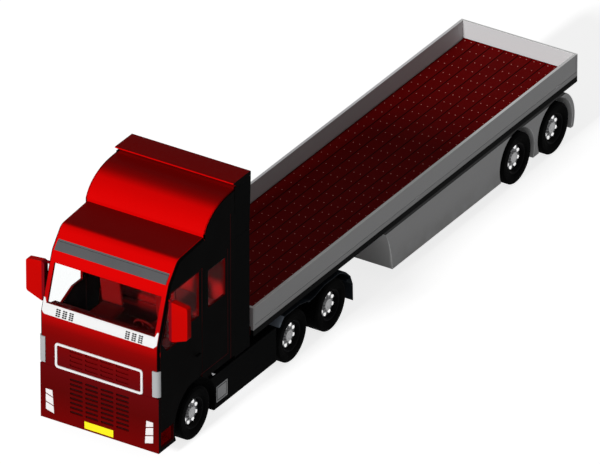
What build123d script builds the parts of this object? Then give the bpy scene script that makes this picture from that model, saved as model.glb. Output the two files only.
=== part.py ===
from build123d import *
import os
from math import cos, pi, sin

# An articulated lorry: a three-axle tractor with a high sleeper cab, and a two-axle drop-side trailer.
# Millimetres. X runs forward from the front axle, Y to the left, Z up from the road.
# Each node is written with X moved so that the origin is under the middle of the whole lorry.

# Overall sizes
half_width = 1250
front_x = 1190
trim_proud = 20
trailer_front_x = -1925
trailer_rear_x = -12970
ground_gap = 250
joint_line = 5
running_gap = 6
seat_gap = 0.3

# Wheels
wheel_radius = 500
tyre_width = 300
bead_half = 118
bulge_half = 150
bulge_radius = 420
tread_half = 130
rim_radius = 285
rim_wall = 15
wheel_sides = 32
twin_pitch = 330
wheel_centre_y = half_width - tyre_width / 2
disc_thick = 16
hub_radius = 110
spindle_radius = 45
spindle_end_y = 1170
hub_cap = 30
bearing_gap = 0.3

drive_axle_xs = (-3220, -4530)
trailer_axle_xs = (-10880, -12200)

# Tractor chassis
frame_rear_x = -5180
frame_front_x = 1000
frame_half = 430
rail_flange = 80
rail_wall = 10
rail_bottom = 670
rail_top = 940
cross_half = 30
cross_xs = (830, -1700, -2500, -3875, -5140)
cross_bottom = 770
cross_top = 900
deck_thick = 10
post_xs, post_half = (910, -1180), 45

# Steering
pivot_y = 930
pin_radius = 22
boss_radius = 50
boss_half = 60
fork_gap = 2
fork_thick = 58
fork_clear = 5

# Coupling
coupling_x = -3525
coupling_height = 1130
coupling_plate = 45
coupling_radius = 450
coupler_reach = 900
kingpin_radius = 25.4
kingpin_length = 62
kingpin_gap = 0.4

# Cab
cab_rear_x = -1300
sill_z = 1050
cab_wall = 50
floor_z = 1600
floor_thick = 40
front_joint_z = 1360
screen_foot_z = 2400
screen_head_x, screen_head_z = 890, 3285
brow_x, brow_z = 810, 3500
roof_front_x, roof_front_z = 510, 3870
roof_rear_z = 4000
roof_split_z = 3350
corner_round = 60
brow_round = 240
arch_radius = 675

# Doors and windows
door_front_setback = 70
door_rear_x = -235
door_foot_z = 656
window_setback = 120
window_head_z = 3320
window_rear_x = -130
window_sill_z = 2430
window_dip_x, window_dip_z, window_slope = 620, 2230, 300
bunk_window = (-990, -440, 2450, 3200)
glass_thick = 8
glass_inset = 12
screen_half = 1130
screen_sill_z, screen_top_z = 2580, 3285
hinge_out = 2
hinge_radius = 10
hinge_pin = 5
hinge_half = 45
door_hinge_zs = (1500, 2250)

# Bumper, lamps and grille
bumper_wall = 40
bumper_sill = 650
step_front_x, step_rear_x = 1115, 715
step_bottom, step_top = 330, 640
step_depth = 220
step_wall, step_roof = 15, 10
lamp_outer_y, lamp_inner_y = 1140, 930
lamp_bottom, lamp_top = 390, 860
lamp_depth, rear_lamp_depth = 40, 40
slot_length, slot_height = 270, 46
slot_columns = (-487.5, -162.5, 162.5, 487.5)
slot_pitch = 95
low_slots, low_slot_z = 8, 530
high_slots, high_slot_z = 4, 1495
slot_blind = 25
frame_out_y, frame_bar, frame_round, frame_hole_round = 930, 60, 100, 60
frame_low_z, frame_high_z = 1330, 1850
band_low_z, band_high_z, band_half = 2362, 2578, 1190
band_tip = 60
visor_low_z, visor_high_z, visor_half = 3500, 3635, 1170
wrap_low_z, wrap_high_z, wrap_front, wrap_side = 1400, 1920, 120, 52

# Roof deflector, wing and side collars
skin = 25
collar_rear_x = -1800
collar_low_z, collar_split_z = 1000, 3433
wing_front_x, wing_rear_x = -1270, -1850
wing_rise, wing_thick = 470, 100
wing_low_z = roof_rear_z + wing_rise
wing_top_z = wing_low_z + wing_thick
# The deflector's line: x, and height over the roof's rear edge
deflector_rise = ((-320, -10), (-440, 160), (-600, 290), (-800, 395), (-1100, 432), (-1250, 442))
deflector_foot = 150

# Side fairings and drive wheel guards
fairing_rear_x = -2680
fairing_top_z = 950
hatch = (-1070, -700, 360, 690)
guard_inner_y = 600
guard_wall = 12
guard_line = ((430, 880), (270, 1035), (-250, 1035), (-585, 955), (-725, 955), (-1060, 1035), (-1560, 1035),
              (-1790, 950), (-1940, 800), (-2020, 600), (-2032, 256))

# Trailer
board_thick, tail_thick = 55, 45
board_top = 1710
platform_top = 1340
end_setback = 60
side_wall = 12
floor_top = 1320
plank_thick = 40
planks = 8
plank_groove = 8
rail_seat = 10
headboard_seat = 5
beam_y = 500
beam_web = 12
beam_flange = 140
beam_flange_thick = 15
beam_deep_z = 830
neck_end_x, deep_start_x = -5780, -6150
bearer_pitch = 1000
bearer_half = 35
board_hinges = (-2600, -7450, -12300)
tail_hinges = (-900, 900)
board_hinge_half = 60
skirt_line = ((-6320, 1130), (-6510, 730), (-6590, 250))
skirt_arch = 610
last_guard = 690
bearer_lift = 20
leg_bearer, leg_y, leg_half, leg_foot_z = 5, 850, 55, 560
leg_foot_thick = 15
bar_low_z, bar_high_z = 420, 540

rear_extent = trailer_rear_x - hinge_radius - 5
middle_x = (front_x + trim_proud + rear_extent) / 2
os.makedirs("parts", exist_ok=True)


# General shapes

def block(x0, x1, y0, y1, z0, z1):
    return Pos((x0 + x1) / 2, (y0 + y1) / 2, (z0 + z1) / 2) * Box(abs(x1 - x0), abs(y1 - y0), abs(z1 - z0))


def side_face(*edges):
    """A face in the X-Z plane from points, or from edges that close."""
    line = Polyline(*edges, close=True) if isinstance(edges[0], tuple) else Curve() + list(edges)
    return make_face(Plane.XZ * line)


def across(face, y0, y1):
    return extrude(Pos(0, y0, 0) * face, amount=y1 - y0, dir=(0, 1, 0))


def plate(points, y0, y1):
    return across(side_face(*points), y0, y1)


def sheet(points, wall, y0, y1):
    """A bent sheet that follows a line in the X-Z plane."""
    return across(Plane.XZ * trace(Polyline(*points), line_width=wall), y0, y1)


def along_x(points, x0, x1):
    face = make_face(Plane.YZ * Polyline(*points, close=True))
    return extrude(Pos(x0, 0, 0) * face, amount=x1 - x0, dir=(1, 0, 0))


def along(axis, sketch, start, end, spot):
    """A sketch extruded along an axis, centred on the two other coordinates in spot."""
    origin = {"x": (start, *spot), "y": (spot[0], start, spot[1]), "z": (*spot, start)}[axis]
    x_dir = (0, 1, 0) if axis == "x" else (1, 0, 0)
    z_dir = {"x": (1, 0, 0), "y": (0, 1, 0), "z": (0, 0, 1)}[axis]
    return extrude(Plane(origin=origin, x_dir=x_dir, z_dir=z_dir) * sketch, amount=end - start)


def rod(axis, radius, start, end, spot):
    return along(axis, Circle(radius), start, end, spot)


def prism(axis, radius, sides, start, end, spot):
    """A regular prism that stands on one of its flats, radius away from its middle."""
    shape = Rotation(0, 0, 180 / sides) * RegularPolygon(radius, sides, major_radius=False)
    return along(axis, shape, start, end, spot)


def rod_y(radius, y0, y1, x, z):
    return rod("y", radius, y0, y1, (x, z))


def hinge(axis, middle, reach, spot):
    """A hinge's fixed half with its pin, its moving half, the pin's bore, and both notches."""
    fixed = prism(axis, hinge_radius, 8, middle - reach, middle, spot)
    fixed += rod(axis, hinge_pin, middle - reach, middle + reach, spot)
    moving = prism(axis, hinge_radius, 8, middle + 1, middle + reach, spot)
    bore = prism(axis, hinge_pin + bearing_gap, 8, middle - 2, middle + reach + 1, spot)
    notch = Rectangle(2 * hinge_radius + 4, 2 * hinge_radius + 4)
    fixed_notch = along(axis, notch, middle - reach - 1, middle + 1, spot)
    moving_notch = along(axis, notch, middle, middle + reach + 1, spot)
    return fixed, moving, bore, fixed_notch, moving_notch


def fit_hinges(fixed_body, moving_body, hinges):
    for fixed, moving, bore, fixed_notch, moving_notch in hinges:
        fixed_body = fixed_body - moving_notch + fixed
        moving_body = moving_body - fixed_notch + moving - bore
    return fixed_body, moving_body


def other_side(shape):
    return mirror(shape, about=Plane.XZ)


def both(shape):
    return [shape, other_side(shape)]


def save(node, *shapes):
    solids = [s for shape in shapes for s in shape.solids()]
    whole = Compound(solids) if len(solids) > 1 else solids[0]
    export_step(Pos(-middle_x, 0, 0) * whole, f"parts/{node}.step")


# Wheels: rings with flat sides, so that a tyre's bore and its rim meet face to face

def ring_points(y, radius):
    corner = radius / cos(pi / wheel_sides)
    turns = [(2 * number + 1) * pi / wheel_sides for number in range(wheel_sides)]
    return [(corner * sin(turn), y, -corner * cos(turn)) for turn in turns]


def ring_solid(profile):
    """A closed ring of flat faces from its section, given as y and radius round the wheel's axis."""
    rings = [ring_points(y, radius) for y, radius in profile]
    faces = []
    for first, second in zip(rings, rings[1:] + rings[:1]):
        for here in range(wheel_sides):
            there = (here + 1) % wheel_sides
            corners = (first[here], first[there], second[there], second[here])
            faces.append(make_face(Polyline(*corners, close=True)).face())
    return Solid(Shell(faces))


def tyre(y, plain=False):
    bulge = [] if plain else [(-bulge_half, bulge_radius)]
    low = [(-bead_half, rim_radius), *bulge, (-tread_half, wheel_radius)]
    high = [(-at, radius) for at, radius in reversed(low)]
    return Pos(0, y, 0) * ring_solid(low + high)


def rim(inner_y, outer_y, disc_y, hub_y):
    """A barrel from inner_y to outer_y, with its disc at disc_y and a hub out to hub_y."""
    barrel_in = rim_radius - rim_wall
    barrel = prism("y", rim_radius, wheel_sides, inner_y, outer_y, (0, 0))
    barrel -= prism("y", barrel_in, wheel_sides, inner_y - 1, outer_y + 1, (0, 0))
    disc = prism("y", barrel_in, wheel_sides, disc_y, disc_y + disc_thick, (0, 0))
    hub = prism("y", hub_radius, wheel_sides // 2, disc_y, hub_y, (0, 0))
    bore_end = spindle_end_y + bearing_gap
    bore = prism("y", spindle_radius + bearing_gap, wheel_sides // 2, disc_y - 1, bore_end, (0, 0))
    return barrel + disc + hub - bore


def put_wheel(name, x, side, twin):
    tyres = [tyre(wheel_centre_y)]
    inner_y = wheel_centre_y - bead_half
    disc_y = wheel_centre_y + 20
    if twin:
        tyres.append(tyre(wheel_centre_y - twin_pitch, plain=True))
        inner_y -= twin_pitch
        disc_y = wheel_centre_y - twin_pitch / 2 - disc_thick / 2
    wheel = rim(inner_y, wheel_centre_y + bead_half, disc_y, spindle_end_y + hub_cap)
    place = Pos(x, 0, wheel_radius)
    for node, shapes in ((f"tyre_{name}", tyres), (f"rim_{name}", [wheel])):
        save(node, *[place * (s if side > 0 else other_side(s)) for s in shapes])


for side, word in ((1, "left"), (-1, "right")):
    put_wheel(f"front_{word}", 0, side, False)
    for number, x in enumerate(drive_axle_xs, 1):
        put_wheel(f"drive_{number}_{word}", x, side, True)
    for number, x in enumerate(trailer_axle_xs, 1):
        put_wheel(f"trailer_{number}_{word}", x, side, True)

# Tractor frame: two channel rails, cross members, cab posts and bumper arms
frame_web, flange_end = frame_half - rail_wall, frame_half - rail_flange
rail_section = ((frame_half, rail_bottom), (frame_half, rail_top), (flange_end, rail_top),
                (flange_end, rail_top - rail_wall), (frame_web, rail_top - rail_wall),
                (frame_web, rail_bottom + rail_wall), (flange_end, rail_bottom + rail_wall),
                (flange_end, rail_bottom))
rail = along_x(rail_section, frame_rear_x, frame_front_x)
tractor_frame = rail + other_side(rail)
for x in cross_xs:
    tractor_frame += block(x - cross_half, x + cross_half, -frame_web, frame_web, cross_bottom, cross_top)
bumper_back_x = front_x - bumper_wall
arm = block(frame_front_x, bumper_back_x, frame_half - rail_flange, frame_half, cross_bottom, cross_top)
posts = [block(x - post_half, x + post_half, frame_half - rail_flange, frame_half, rail_top, floor_z)
         for x in post_xs]
for piece in (arm, *posts):
    tractor_frame += piece
    tractor_frame += other_side(piece)
save("tractor_frame", tractor_frame)

# Engine with gearbox and feet, the radiator against the front cross member, and the drive shafts
engine_front, engine_rear, engine_half, engine_low, engine_high = 550, -750, 330, 620, 1330
shaft_z, shaft_radius = 560, 55
gearbox_rear = -1500
engine = block(engine_rear, engine_front, -engine_half, engine_half, engine_low, engine_high)
engine += block(gearbox_rear, engine_rear, -220, 220, 480, 900)
for x in (350, -550):
    engine += block(x - 50, x + 50, -frame_web, frame_web, 800, 860)
radiator = block(720, cross_xs[0] - cross_half, -345, 345, 600, 1500)
nose_reach, nose_radius, diff_radius, diff_half = 260, 80, 180, 110
shaft_ends = ((drive_axle_xs[0] + nose_reach, gearbox_rear),
              (drive_axle_xs[1] + nose_reach, drive_axle_xs[0] - nose_reach))
shafts = [prism("x", shaft_radius, 12, *ends, (0, shaft_z)) for ends in shaft_ends]
save("engine", engine, radiator, *shafts)

# Front axle: a dropped beam with a boss for each king pin, on two leaf springs
beam_half = 45
spring_in, spring_out = frame_half - rail_flange, frame_half
axle_points = ((900, 440), (900, 560), (560, 560), (450, 490), (-450, 490), (-560, 560), (-900, 560),
               (-900, 440), (-540, 440), (-430, 380), (430, 380), (540, 440))
front_axle = along_x(axle_points, -beam_half, beam_half)


def leaf_pack(x, reach, foot_z, end_z, thick, y0, y1):
    low = ThreePointArc((x - reach, end_z), (x, foot_z), (x + reach, end_z))
    high = ThreePointArc((x + reach, end_z + thick), (x, foot_z + thick), (x - reach, end_z + thick))
    ends = [Line(low @ 1, high @ 0), Line(high @ 1, low @ 0)]
    return across(side_face(low, ends[0], high, ends[1]), y0, y1)


spring = leaf_pack(0, 700, 480, rail_bottom - 60, 50, spring_in, spring_out)
for x in (-670, 670):
    spring += block(x - 35, x + 35, spring_in, spring_out, rail_bottom - 50, rail_bottom)
boss = prism("z", boss_radius, 12, wheel_radius - boss_half, wheel_radius + boss_half, (0, pivot_y))
for piece in (spring, boss):
    front_axle += piece
    front_axle += other_side(piece)
for y in (pivot_y, -pivot_y):
    front_axle -= prism("z", pin_radius + bearing_gap, 12, 300, 700, (0, y))

# Knuckles: a fork over the axle's boss, its king pin, a steering arm and the wheel's spindle
fork_low = wheel_radius - boss_half - fork_gap
fork_high = wheel_radius + boss_half + fork_gap
fork_y = pivot_y + boss_radius + fork_clear
knuckle = rod("z", pin_radius, fork_low - fork_thick, fork_high + fork_thick, (0, pivot_y))
for z0, z1 in ((fork_low - fork_thick, fork_low), (fork_high, fork_high + fork_thick)):
    knuckle += prism("z", boss_radius, 12, z0, z1, (0, pivot_y))
    knuckle += block(-beam_half, beam_half, pivot_y, fork_y, z0, z1)
knuckle += block(-60, 60, fork_y, fork_y + 25, fork_low - fork_thick, fork_high + fork_thick)
knuckle += rod_y(spindle_radius, fork_y, spindle_end_y, 0, wheel_radius)
knuckle += block(-230, -beam_half, pivot_y - 20, pivot_y + 20, fork_low - fork_thick, fork_low - 20)
for side, word in ((1, "left"), (-1, "right")):
    save(f"knuckle_{word}", knuckle if side > 0 else other_side(knuckle))


# Drive and trailer axles: a tube with drums and spindles, on leaf packs

def axle_tube(x, radius, drum_y0, drum_y1):
    tube = prism("y", radius, 12, -drum_y1, drum_y1, (x, wheel_radius))
    spindles = rod_y(spindle_radius, -spindle_end_y, spindle_end_y, x, wheel_radius)
    drums = prism("y", drum_radius, 16, drum_y0, drum_y1, (x, wheel_radius))
    return tube + spindles + drums + other_side(drums)


drum_inner, drum_outer, drum_radius = 690, 880, 205
bogie_x = sum(drive_axle_xs) / 2
bogie_reach = (drive_axle_xs[0] - drive_axle_xs[1]) / 2
drive_axles = leaf_pack(bogie_x, bogie_reach + 60, 610, 555, 60, spring_in, spring_out)
drive_axles += other_side(drive_axles)
for side in (1, -1):
    drive_axles += block(bogie_x - 90, bogie_x + 90, side * spring_in, side * spring_out, 640, rail_bottom)
for x in drive_axle_xs:
    drive_axles += axle_tube(x, 75, drum_inner, drum_outer)
    drive_axles += prism("y", diff_radius, 16, -diff_half, diff_half, (x, wheel_radius))
    tail = nose_reach if x == drive_axle_xs[0] else diff_radius
    drive_axles += prism("x", nose_radius, 12, x - tail, x + nose_reach, (0, shaft_z))
save("tractor_axles", front_axle, drive_axles)

trailer_axles = None
for x in trailer_axle_xs:
    pack = leaf_pack(x, 560, 560, 640, 50, beam_y - 45, beam_y + 45)
    for end in (x - 520, x + 520):
        pack += block(end - 40, end + 40, beam_y - 45, beam_y + 45, 650, beam_deep_z)
    one = axle_tube(x, 65, drum_inner, drum_outer) + pack + other_side(pack)
    trailer_axles = one if trailer_axles is None else trailer_axles + one
save("trailer_axles", trailer_axles)

# Fifth wheel: a slotted plate on two pedestals
plate_low = coupling_height - seat_gap - coupling_plate
fifth_wheel = block(coupling_x - 420, coupling_x + 420, -frame_half, frame_half, rail_top, rail_top + 12)
for side in (1, -1):
    fifth_wheel += block(coupling_x - 110, coupling_x + 110, side * 250, side * 330, rail_top, plate_low)
table = rod("z", coupling_radius, plate_low, coupling_height - seat_gap, (coupling_x, 0))
mouth = Polyline((coupling_x - 90, -40), (coupling_x - 90, 40), (coupling_x - 500, 190),
                 (coupling_x - 500, -190), close=True)
table -= extrude(Pos(0, 0, plate_low) * make_face(mouth), amount=coupling_plate)
table -= rod("z", kingpin_radius + kingpin_gap, plate_low, coupling_height, (coupling_x, 0))
save("fifth_wheel", fifth_wheel + table)

# Tanks beside the frame, each on two brackets
tank_front, tank_rear, tank_in, tank_out, tank_low, tank_high = -1150, -2560, 600, 1180, 330, 860
tank = block(tank_rear, tank_front, tank_in, tank_out, tank_low, tank_high)
tank = fillet(tank.edges().filter_by(Axis.X), 70)
for x in (tank_front - 250, tank_rear + 250):
    tank += block(x - 40, x + 40, frame_half, tank_in + 80, 700, 840)
save("side_tanks", *both(tank))


# Cab: one outer form, hollowed, then cut into its real panels

def cab_face(out=0):
    """The cab's side outline, moved outwards by out."""
    points = ((cab_rear_x, sill_z), (front_x, sill_z), (front_x, screen_foot_z),
              (screen_head_x, screen_head_z), (brow_x, brow_z), (roof_front_x, roof_front_z),
              (cab_rear_x, roof_rear_z))
    face = side_face(*points)
    brow = face.vertices().sort_by(lambda v: (v.X - brow_x) ** 2 + (v.Z - brow_z) ** 2)[0]
    crown = face.vertices().sort_by(lambda v: (v.X - roof_front_x) ** 2 + (v.Z - roof_front_z) ** 2)[0]
    face = fillet([brow, crown], brow_round)
    return offset(face, amount=out, kind=Kind.INTERSECTION) if out else face


def screen_x(z):
    """Where the cab's front line stands at a height."""
    lean = (front_x - screen_head_x) / (screen_head_z - screen_foot_z)
    return front_x - max(0, z - screen_foot_z) * lean


def cab_solid(out, edge_round):
    half = half_width + out
    body = across(cab_face(out), -half, half)
    if edge_round:
        edges = [e for e in body.edges() if abs(abs(e.center().Y) - half) < 1]
        edges = [e for e in edges if e.center().Z > sill_z + 10 and e.center().X > cab_rear_x - out + 10]
        body = fillet(edges, edge_round)
    return body


cab_form = cab_solid(0, corner_round)
cab_room = cab_solid(-cab_wall, 0)
under_floor = block(cab_rear_x + cab_wall, front_x - cab_wall, -half_width + cab_wall, half_width - cab_wall,
                    sill_z - 10, sill_z + cab_wall + 10)
cab_shell = cab_form - cab_room - under_floor
cab_shell -= rod_y(arch_radius, -half_width - 10, half_width + 10, 0, wheel_radius)
cab_in_y = half_width - cab_wall
top_z = roof_rear_z + 10

door_front_x = front_x - door_front_setback
window_points = ((window_rear_x, window_sill_z), (window_rear_x, window_head_z),
                 (screen_x(window_head_z) - window_setback, window_head_z),
                 (screen_x(window_sill_z) - window_setback, window_sill_z),
                 (window_dip_x + window_slope, window_dip_z), (window_dip_x, window_dip_z),
                 (window_rear_x + window_slope, window_sill_z))


def door_points(gap):
    """The door's outline, with every edge moved outwards by gap."""
    front = door_front_x + gap
    lean_x = front - (front_x - screen_x(roof_split_z))
    return ((door_rear_x - gap, door_foot_z - gap), (front, door_foot_z - gap), (front, screen_foot_z),
            (lean_x, roof_split_z), (door_rear_x - gap, roof_split_z))


def side_slab(points):
    return plate(points, cab_in_y, half_width + 10)


# The door's lower front reaches down over the upper step, past the cab's sill
door_drop = plate(((0, door_foot_z), (door_front_x, door_foot_z), (door_front_x, sill_z), (0, sill_z)),
                  cab_in_y, half_width)
arch_y = rod_y(arch_radius, -half_width - 20, half_width + 20, 0, wheel_radius)
door = (cab_form & side_slab(door_points(0))) + door_drop
door -= arch_y
door -= block(door_rear_x - 50, 0, cab_in_y - 10, half_width + 10, 0, wheel_radius + arch_radius)
window_cut = side_slab(window_points)
door -= window_cut
door -= block(door_rear_x - 50, front_x, cab_in_y - 10, half_width + 10, roof_split_z - running_gap, top_z)
hinge_x = door_front_x + running_gap / 2
hinge_y = half_width + hinge_out
door_hinges = [hinge("z", z, hinge_half, (hinge_x, hinge_y)) for z in door_hinge_zs]
right_door_hinges = [hinge("z", z, hinge_half, (hinge_x, -hinge_y)) for z in door_hinge_zs]

# A mirror on each door, on an arm at its head
mirror_x, mirror_half, mirror_in, mirror_out = 880, 60, 1310, 1700
mirror_points = ((mirror_in, 2430), (mirror_in, 3270), (mirror_out, 3230), (mirror_out, 2580))
mirror_case = along_x(mirror_points, mirror_x - mirror_half, mirror_x + mirror_half)
mirror_case = fillet(mirror_case.edges().filter_by(Axis.X), 60)
mirror_arm_x = screen_x(3200) - door_front_setback - 25
mirror_case += block(mirror_arm_x - 18, mirror_arm_x + 18, half_width - 5, mirror_in + 60, 3190, 3235)
mirror_case += block(mirror_arm_x - 18, mirror_x, mirror_in + 20, mirror_in + 60, 3190, 3235)
door += mirror_case
door_plain = door

# Cab sides behind the doors, the rear wall, the roof and the front
bunk_x0, bunk_x1, bunk_z0, bunk_z1 = bunk_window
door_hole = plate(door_points(running_gap), 0, half_width + 10)
cab_side = cab_shell & block(cab_rear_x + cab_wall, door_rear_x - running_gap, cab_in_y, half_width + 1,
                             sill_z - 1, roof_split_z)
cab_side -= block(bunk_x0, bunk_x1, cab_in_y - 10, half_width + 10, bunk_z0, bunk_z1)
save("cab_sides", *both(cab_side))

rear_slab = block(cab_rear_x, cab_rear_x + cab_wall, -half_width, half_width, sill_z, roof_split_z)
cab_rear = cab_form & rear_slab
save("cab_rear", cab_rear)

roof_zone = block(cab_rear_x - 10, front_x + 10, -half_width - 10, half_width + 10, roof_split_z, top_z)
save("cab_roof", cab_shell & roof_zone)

floor_front_x = front_x - cab_wall
cab_floor = block(cab_rear_x + cab_wall, floor_front_x, -cab_in_y, cab_in_y, floor_z, floor_z + floor_thick)
save("cab_floor", cab_floor)

front_zone = block(0, front_x + 10, -half_width - 10, half_width + 10, front_joint_z, roof_split_z)
cab_front = cab_shell & front_zone
cab_front -= door_hole
cab_front -= other_side(door_hole)
screen_hole = block(0, front_x + 50, -screen_half, screen_half, screen_sill_z, screen_top_z)
cab_front -= screen_hole
cab_front, door = fit_hinges(cab_front, door, door_hinges)
cab_front, right_door = fit_hinges(cab_front, other_side(door_plain), right_door_hinges)


def slot_block(y, z, x0, x1):
    """One grille slot with cut corners."""
    a, b, c = slot_length / 2, slot_height / 2, slot_height / 3.4
    points = ((y - a, z - b + c), (y - a, z + b - c), (y - a + c, z + b), (y + a - c, z + b),
              (y + a, z + b - c), (y + a, z - b + c), (y + a - c, z - b), (y - a + c, z - b))
    return along_x(points, x0, x1)


high_cuts = [slot_block(y, high_slot_z + row * slot_pitch, front_x - slot_blind, front_x + 1)
             for y in slot_columns for row in range(high_slots)]
cab_front -= high_cuts
save("cab_front", cab_front)

door_pane = plate(window_points, half_width - glass_inset - glass_thick, half_width - glass_inset)
save("door_left", door)
save("door_right", right_door)
save("door_glass_left", door_pane)
save("door_glass_right", other_side(door_pane))

# Glass: the windscreen follows the cab's front line, and each sleeper window fills its hole
screen_glass = cab_solid(-glass_inset, 0) - cab_solid(-glass_inset - glass_thick, 0)
screen_glass = screen_glass & screen_hole
bunk_glass = block(bunk_x0, bunk_x1, half_width - glass_inset - glass_thick, half_width - glass_inset,
                   bunk_z0, bunk_z1)
save("cab_glass", screen_glass, *both(bunk_glass))

# Bumper: a front wall with slots and lamp holes, and two corner mouldings, each with its step's tray
bumper_top = front_joint_z - joint_line
bumper = block(bumper_back_x, front_x, -half_width, half_width, ground_gap, bumper_top)
side_low = block(400, bumper_back_x, cab_in_y, half_width, ground_gap, bumper_sill)
side_front = block(door_front_x + running_gap, bumper_back_x, cab_in_y, half_width, ground_gap, bumper_top)
step_tray = block(step_rear_x - step_wall, bumper_back_x - seat_gap, half_width - step_depth,
                  cab_in_y - seat_gap, step_bottom - step_wall, step_top + step_roof)
step_room = block(step_rear_x, step_front_x, half_width - step_depth + step_wall, half_width + 1,
                  step_bottom, step_top)
step_tray -= step_room
flank = side_low + side_front - step_room
flank -= rod_y(arch_radius, 0, half_width + 10, 0, wheel_radius)
save("bumper_corners", *both(flank), *both(step_tray))
bumper -= [slot_block(y, low_slot_z + row * slot_pitch, bumper_back_x - 1, front_x + 1)
           for y in slot_columns for row in range(low_slots)]
lamp_points = ((lamp_inner_y, lamp_bottom + 40), (lamp_inner_y + 55, lamp_top), (lamp_outer_y, lamp_top),
               (lamp_outer_y, lamp_bottom))
lamp = along_x(lamp_points, front_x - lamp_depth, front_x - 4)
lamp_hole = along_x(lamp_points, bumper_back_x, front_x)
bumper -= lamp_hole
bumper -= other_side(lamp_hole)
save("bumper", bumper)

# Head lamps, and rear lamps on the frame's last cross member
rear_lamp = block(frame_rear_x - rear_lamp_depth, frame_rear_x, flange_end, frame_half, rail_bottom, rail_top)
save("lamps", *both(lamp), *both(rear_lamp))

# White front trim: the grille's frame and the band under the windscreen
frame_mid_z = (frame_low_z + frame_high_z) / 2
frame_tall = frame_high_z - frame_low_z
ring = RectangleRounded(2 * frame_out_y, frame_tall, frame_round)
ring -= RectangleRounded(2 * (frame_out_y - frame_bar), frame_tall - 2 * frame_bar, frame_hole_round)
grille_frame = extrude(Plane(origin=(front_x, 0, frame_mid_z), x_dir=(0, 1, 0), z_dir=(1, 0, 0)) * ring,
                       amount=trim_proud)
ear_z, ear_wide, ear_foot = band_high_z + 90, 30, 70
band_side = ((band_half - band_tip, band_low_z), (band_half, band_low_z + band_tip), (band_half, ear_z),
             (band_half - ear_wide, ear_z), (band_half - ear_foot, band_high_z))
band_outline = band_side + tuple((-y, z) for y, z in reversed(band_side))
band = along_x(band_outline, 0, front_x + 50)
band = band & (cab_solid(8, 0) - cab_solid(0, 0))
band = band & block(600, front_x + 50, -half_width, half_width, band_low_z - 10, band_high_z + 100)
save("front_trim", grille_frame, band)

# Corner deflectors and the visor strip lie on the cab's skin
wrap = cab_solid(trim_proud, corner_round + trim_proud) - cab_form
wrap = wrap & block(front_x - wrap_side, front_x + 50, half_width - wrap_front, half_width + 50,
                    wrap_low_z, wrap_high_z)
save("corner_deflectors", *both(wrap))
visor = cab_solid(15, 0) - cab_solid(0, 0)
visor = visor & block(400, front_x, -visor_half, visor_half, visor_low_z, visor_high_z)
save("visor", visor)

# Dashboard with its steering wheel, seats and bunk
dash_front_x, dash_foot_z = floor_front_x - 20, floor_z + 400
dash_line = ((dash_front_x, dash_foot_z), (dash_front_x, 2380), (900, 2470), (780, 2440), (700, 2300),
             (760, 2050), (900, dash_foot_z))
dashboard = plate(dash_line, -cab_in_y + 10, cab_in_y - 10)
dashboard += block(floor_front_x - 160, dash_front_x, -300, 300, floor_z + floor_thick, dash_foot_z)
wheel_place = Pos(560, 560, 2330) * Rotation(0, -60, 0)
wheel_ring = RegularPolygon(225, 16) - RegularPolygon(195, 16) + Rectangle(400, 40) + RegularPolygon(60, 8)
steering = wheel_place * (extrude(wheel_ring, amount=15, both=True) + Pos(0, 0, -160) * Box(50, 50, 320))
save("dashboard", dashboard + steering)

seat_floor = floor_z + floor_thick
seat = block(-60, 60, 520, 640, seat_floor, 1990) + block(-200, 330, 330, 830, 1990, 2110)
back = plate(((-130, 2110), (0, 2110), (-110, 2880), (-220, 2880)), 350, 810)
bunk = block(cab_rear_x + cab_wall, -620, -cab_in_y + 10, cab_in_y - 10, seat_floor, 2150)
save("cab_seats", *both(seat + back), bunk)

# Roof deflector with its sides, and the wing over its rear edge
deflector_line = tuple((x, roof_rear_z + rise) for x, rise in deflector_rise)
deflector = sheet(deflector_line, skin, -half_width, half_width)
foot_x, foot_z = deflector_line[0]
deflector_low = roof_rear_z - deflector_foot
cheek_points = deflector_line + ((deflector_line[-1][0], deflector_low), (foot_x, deflector_low))
cheek = plate(cheek_points, half_width - skin, half_width)
toe = block(foot_x - skin, foot_x, -half_width, half_width, deflector_low, foot_z)
deflector = deflector + cheek + other_side(cheek) + toe
deflector = deflector & block(wing_rear_x, 0, -half_width, half_width, deflector_low, wing_top_z)
deflector -= cab_form
wing_mid_z = (wing_low_z + wing_top_z) / 2
wing_half_thick = wing_thick / 2
wing = block(wing_rear_x, wing_front_x - wing_half_thick, -half_width, half_width, wing_low_z, wing_top_z)
wing += rod_y(wing_half_thick, -half_width, half_width, wing_front_x - wing_half_thick, wing_mid_z)
save("roof_deflector", deflector, wing)

collar_low = block(collar_rear_x, cab_rear_x, half_width - skin, half_width, collar_low_z,
                   collar_split_z - joint_line)
collar_high = plate(((cab_rear_x, collar_split_z), (collar_rear_x, collar_split_z), (wing_rear_x, wing_low_z),
                     (wing_front_x - wing_half_thick, wing_low_z),
                     (wing_front_x - wing_half_thick, roof_rear_z + 20), (cab_rear_x, roof_rear_z)),
                    half_width - skin, half_width)
save("side_collars", *both(collar_low), *both(collar_high))

# Side fairings: a skin with a hatch in each side, joined by a deck behind the cab
fairing = block(fairing_rear_x, 0, half_width - skin, half_width, ground_gap, fairing_top_z)
hatch_x0, hatch_x1, hatch_z0, hatch_z1 = hatch
fairing -= block(hatch_x0, hatch_x1, half_width - 6, half_width + 1, hatch_z0, hatch_z1)
fairing -= rod_y(arch_radius, 0, half_width + 10, 0, wheel_radius)
deck_front = cab_rear_x - 10
fairings = fairing + other_side(fairing)
deck_half, deck_top = half_width - skin, rail_top + deck_thick
fairings += block(fairing_rear_x, deck_front, -deck_half, deck_half, rail_top, deck_top)
ledge = block(deck_front, -720, tank_in, deck_half, rail_top, deck_top)
fairings += ledge
fairings += other_side(ledge)
save("side_fairings", fairings)

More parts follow.
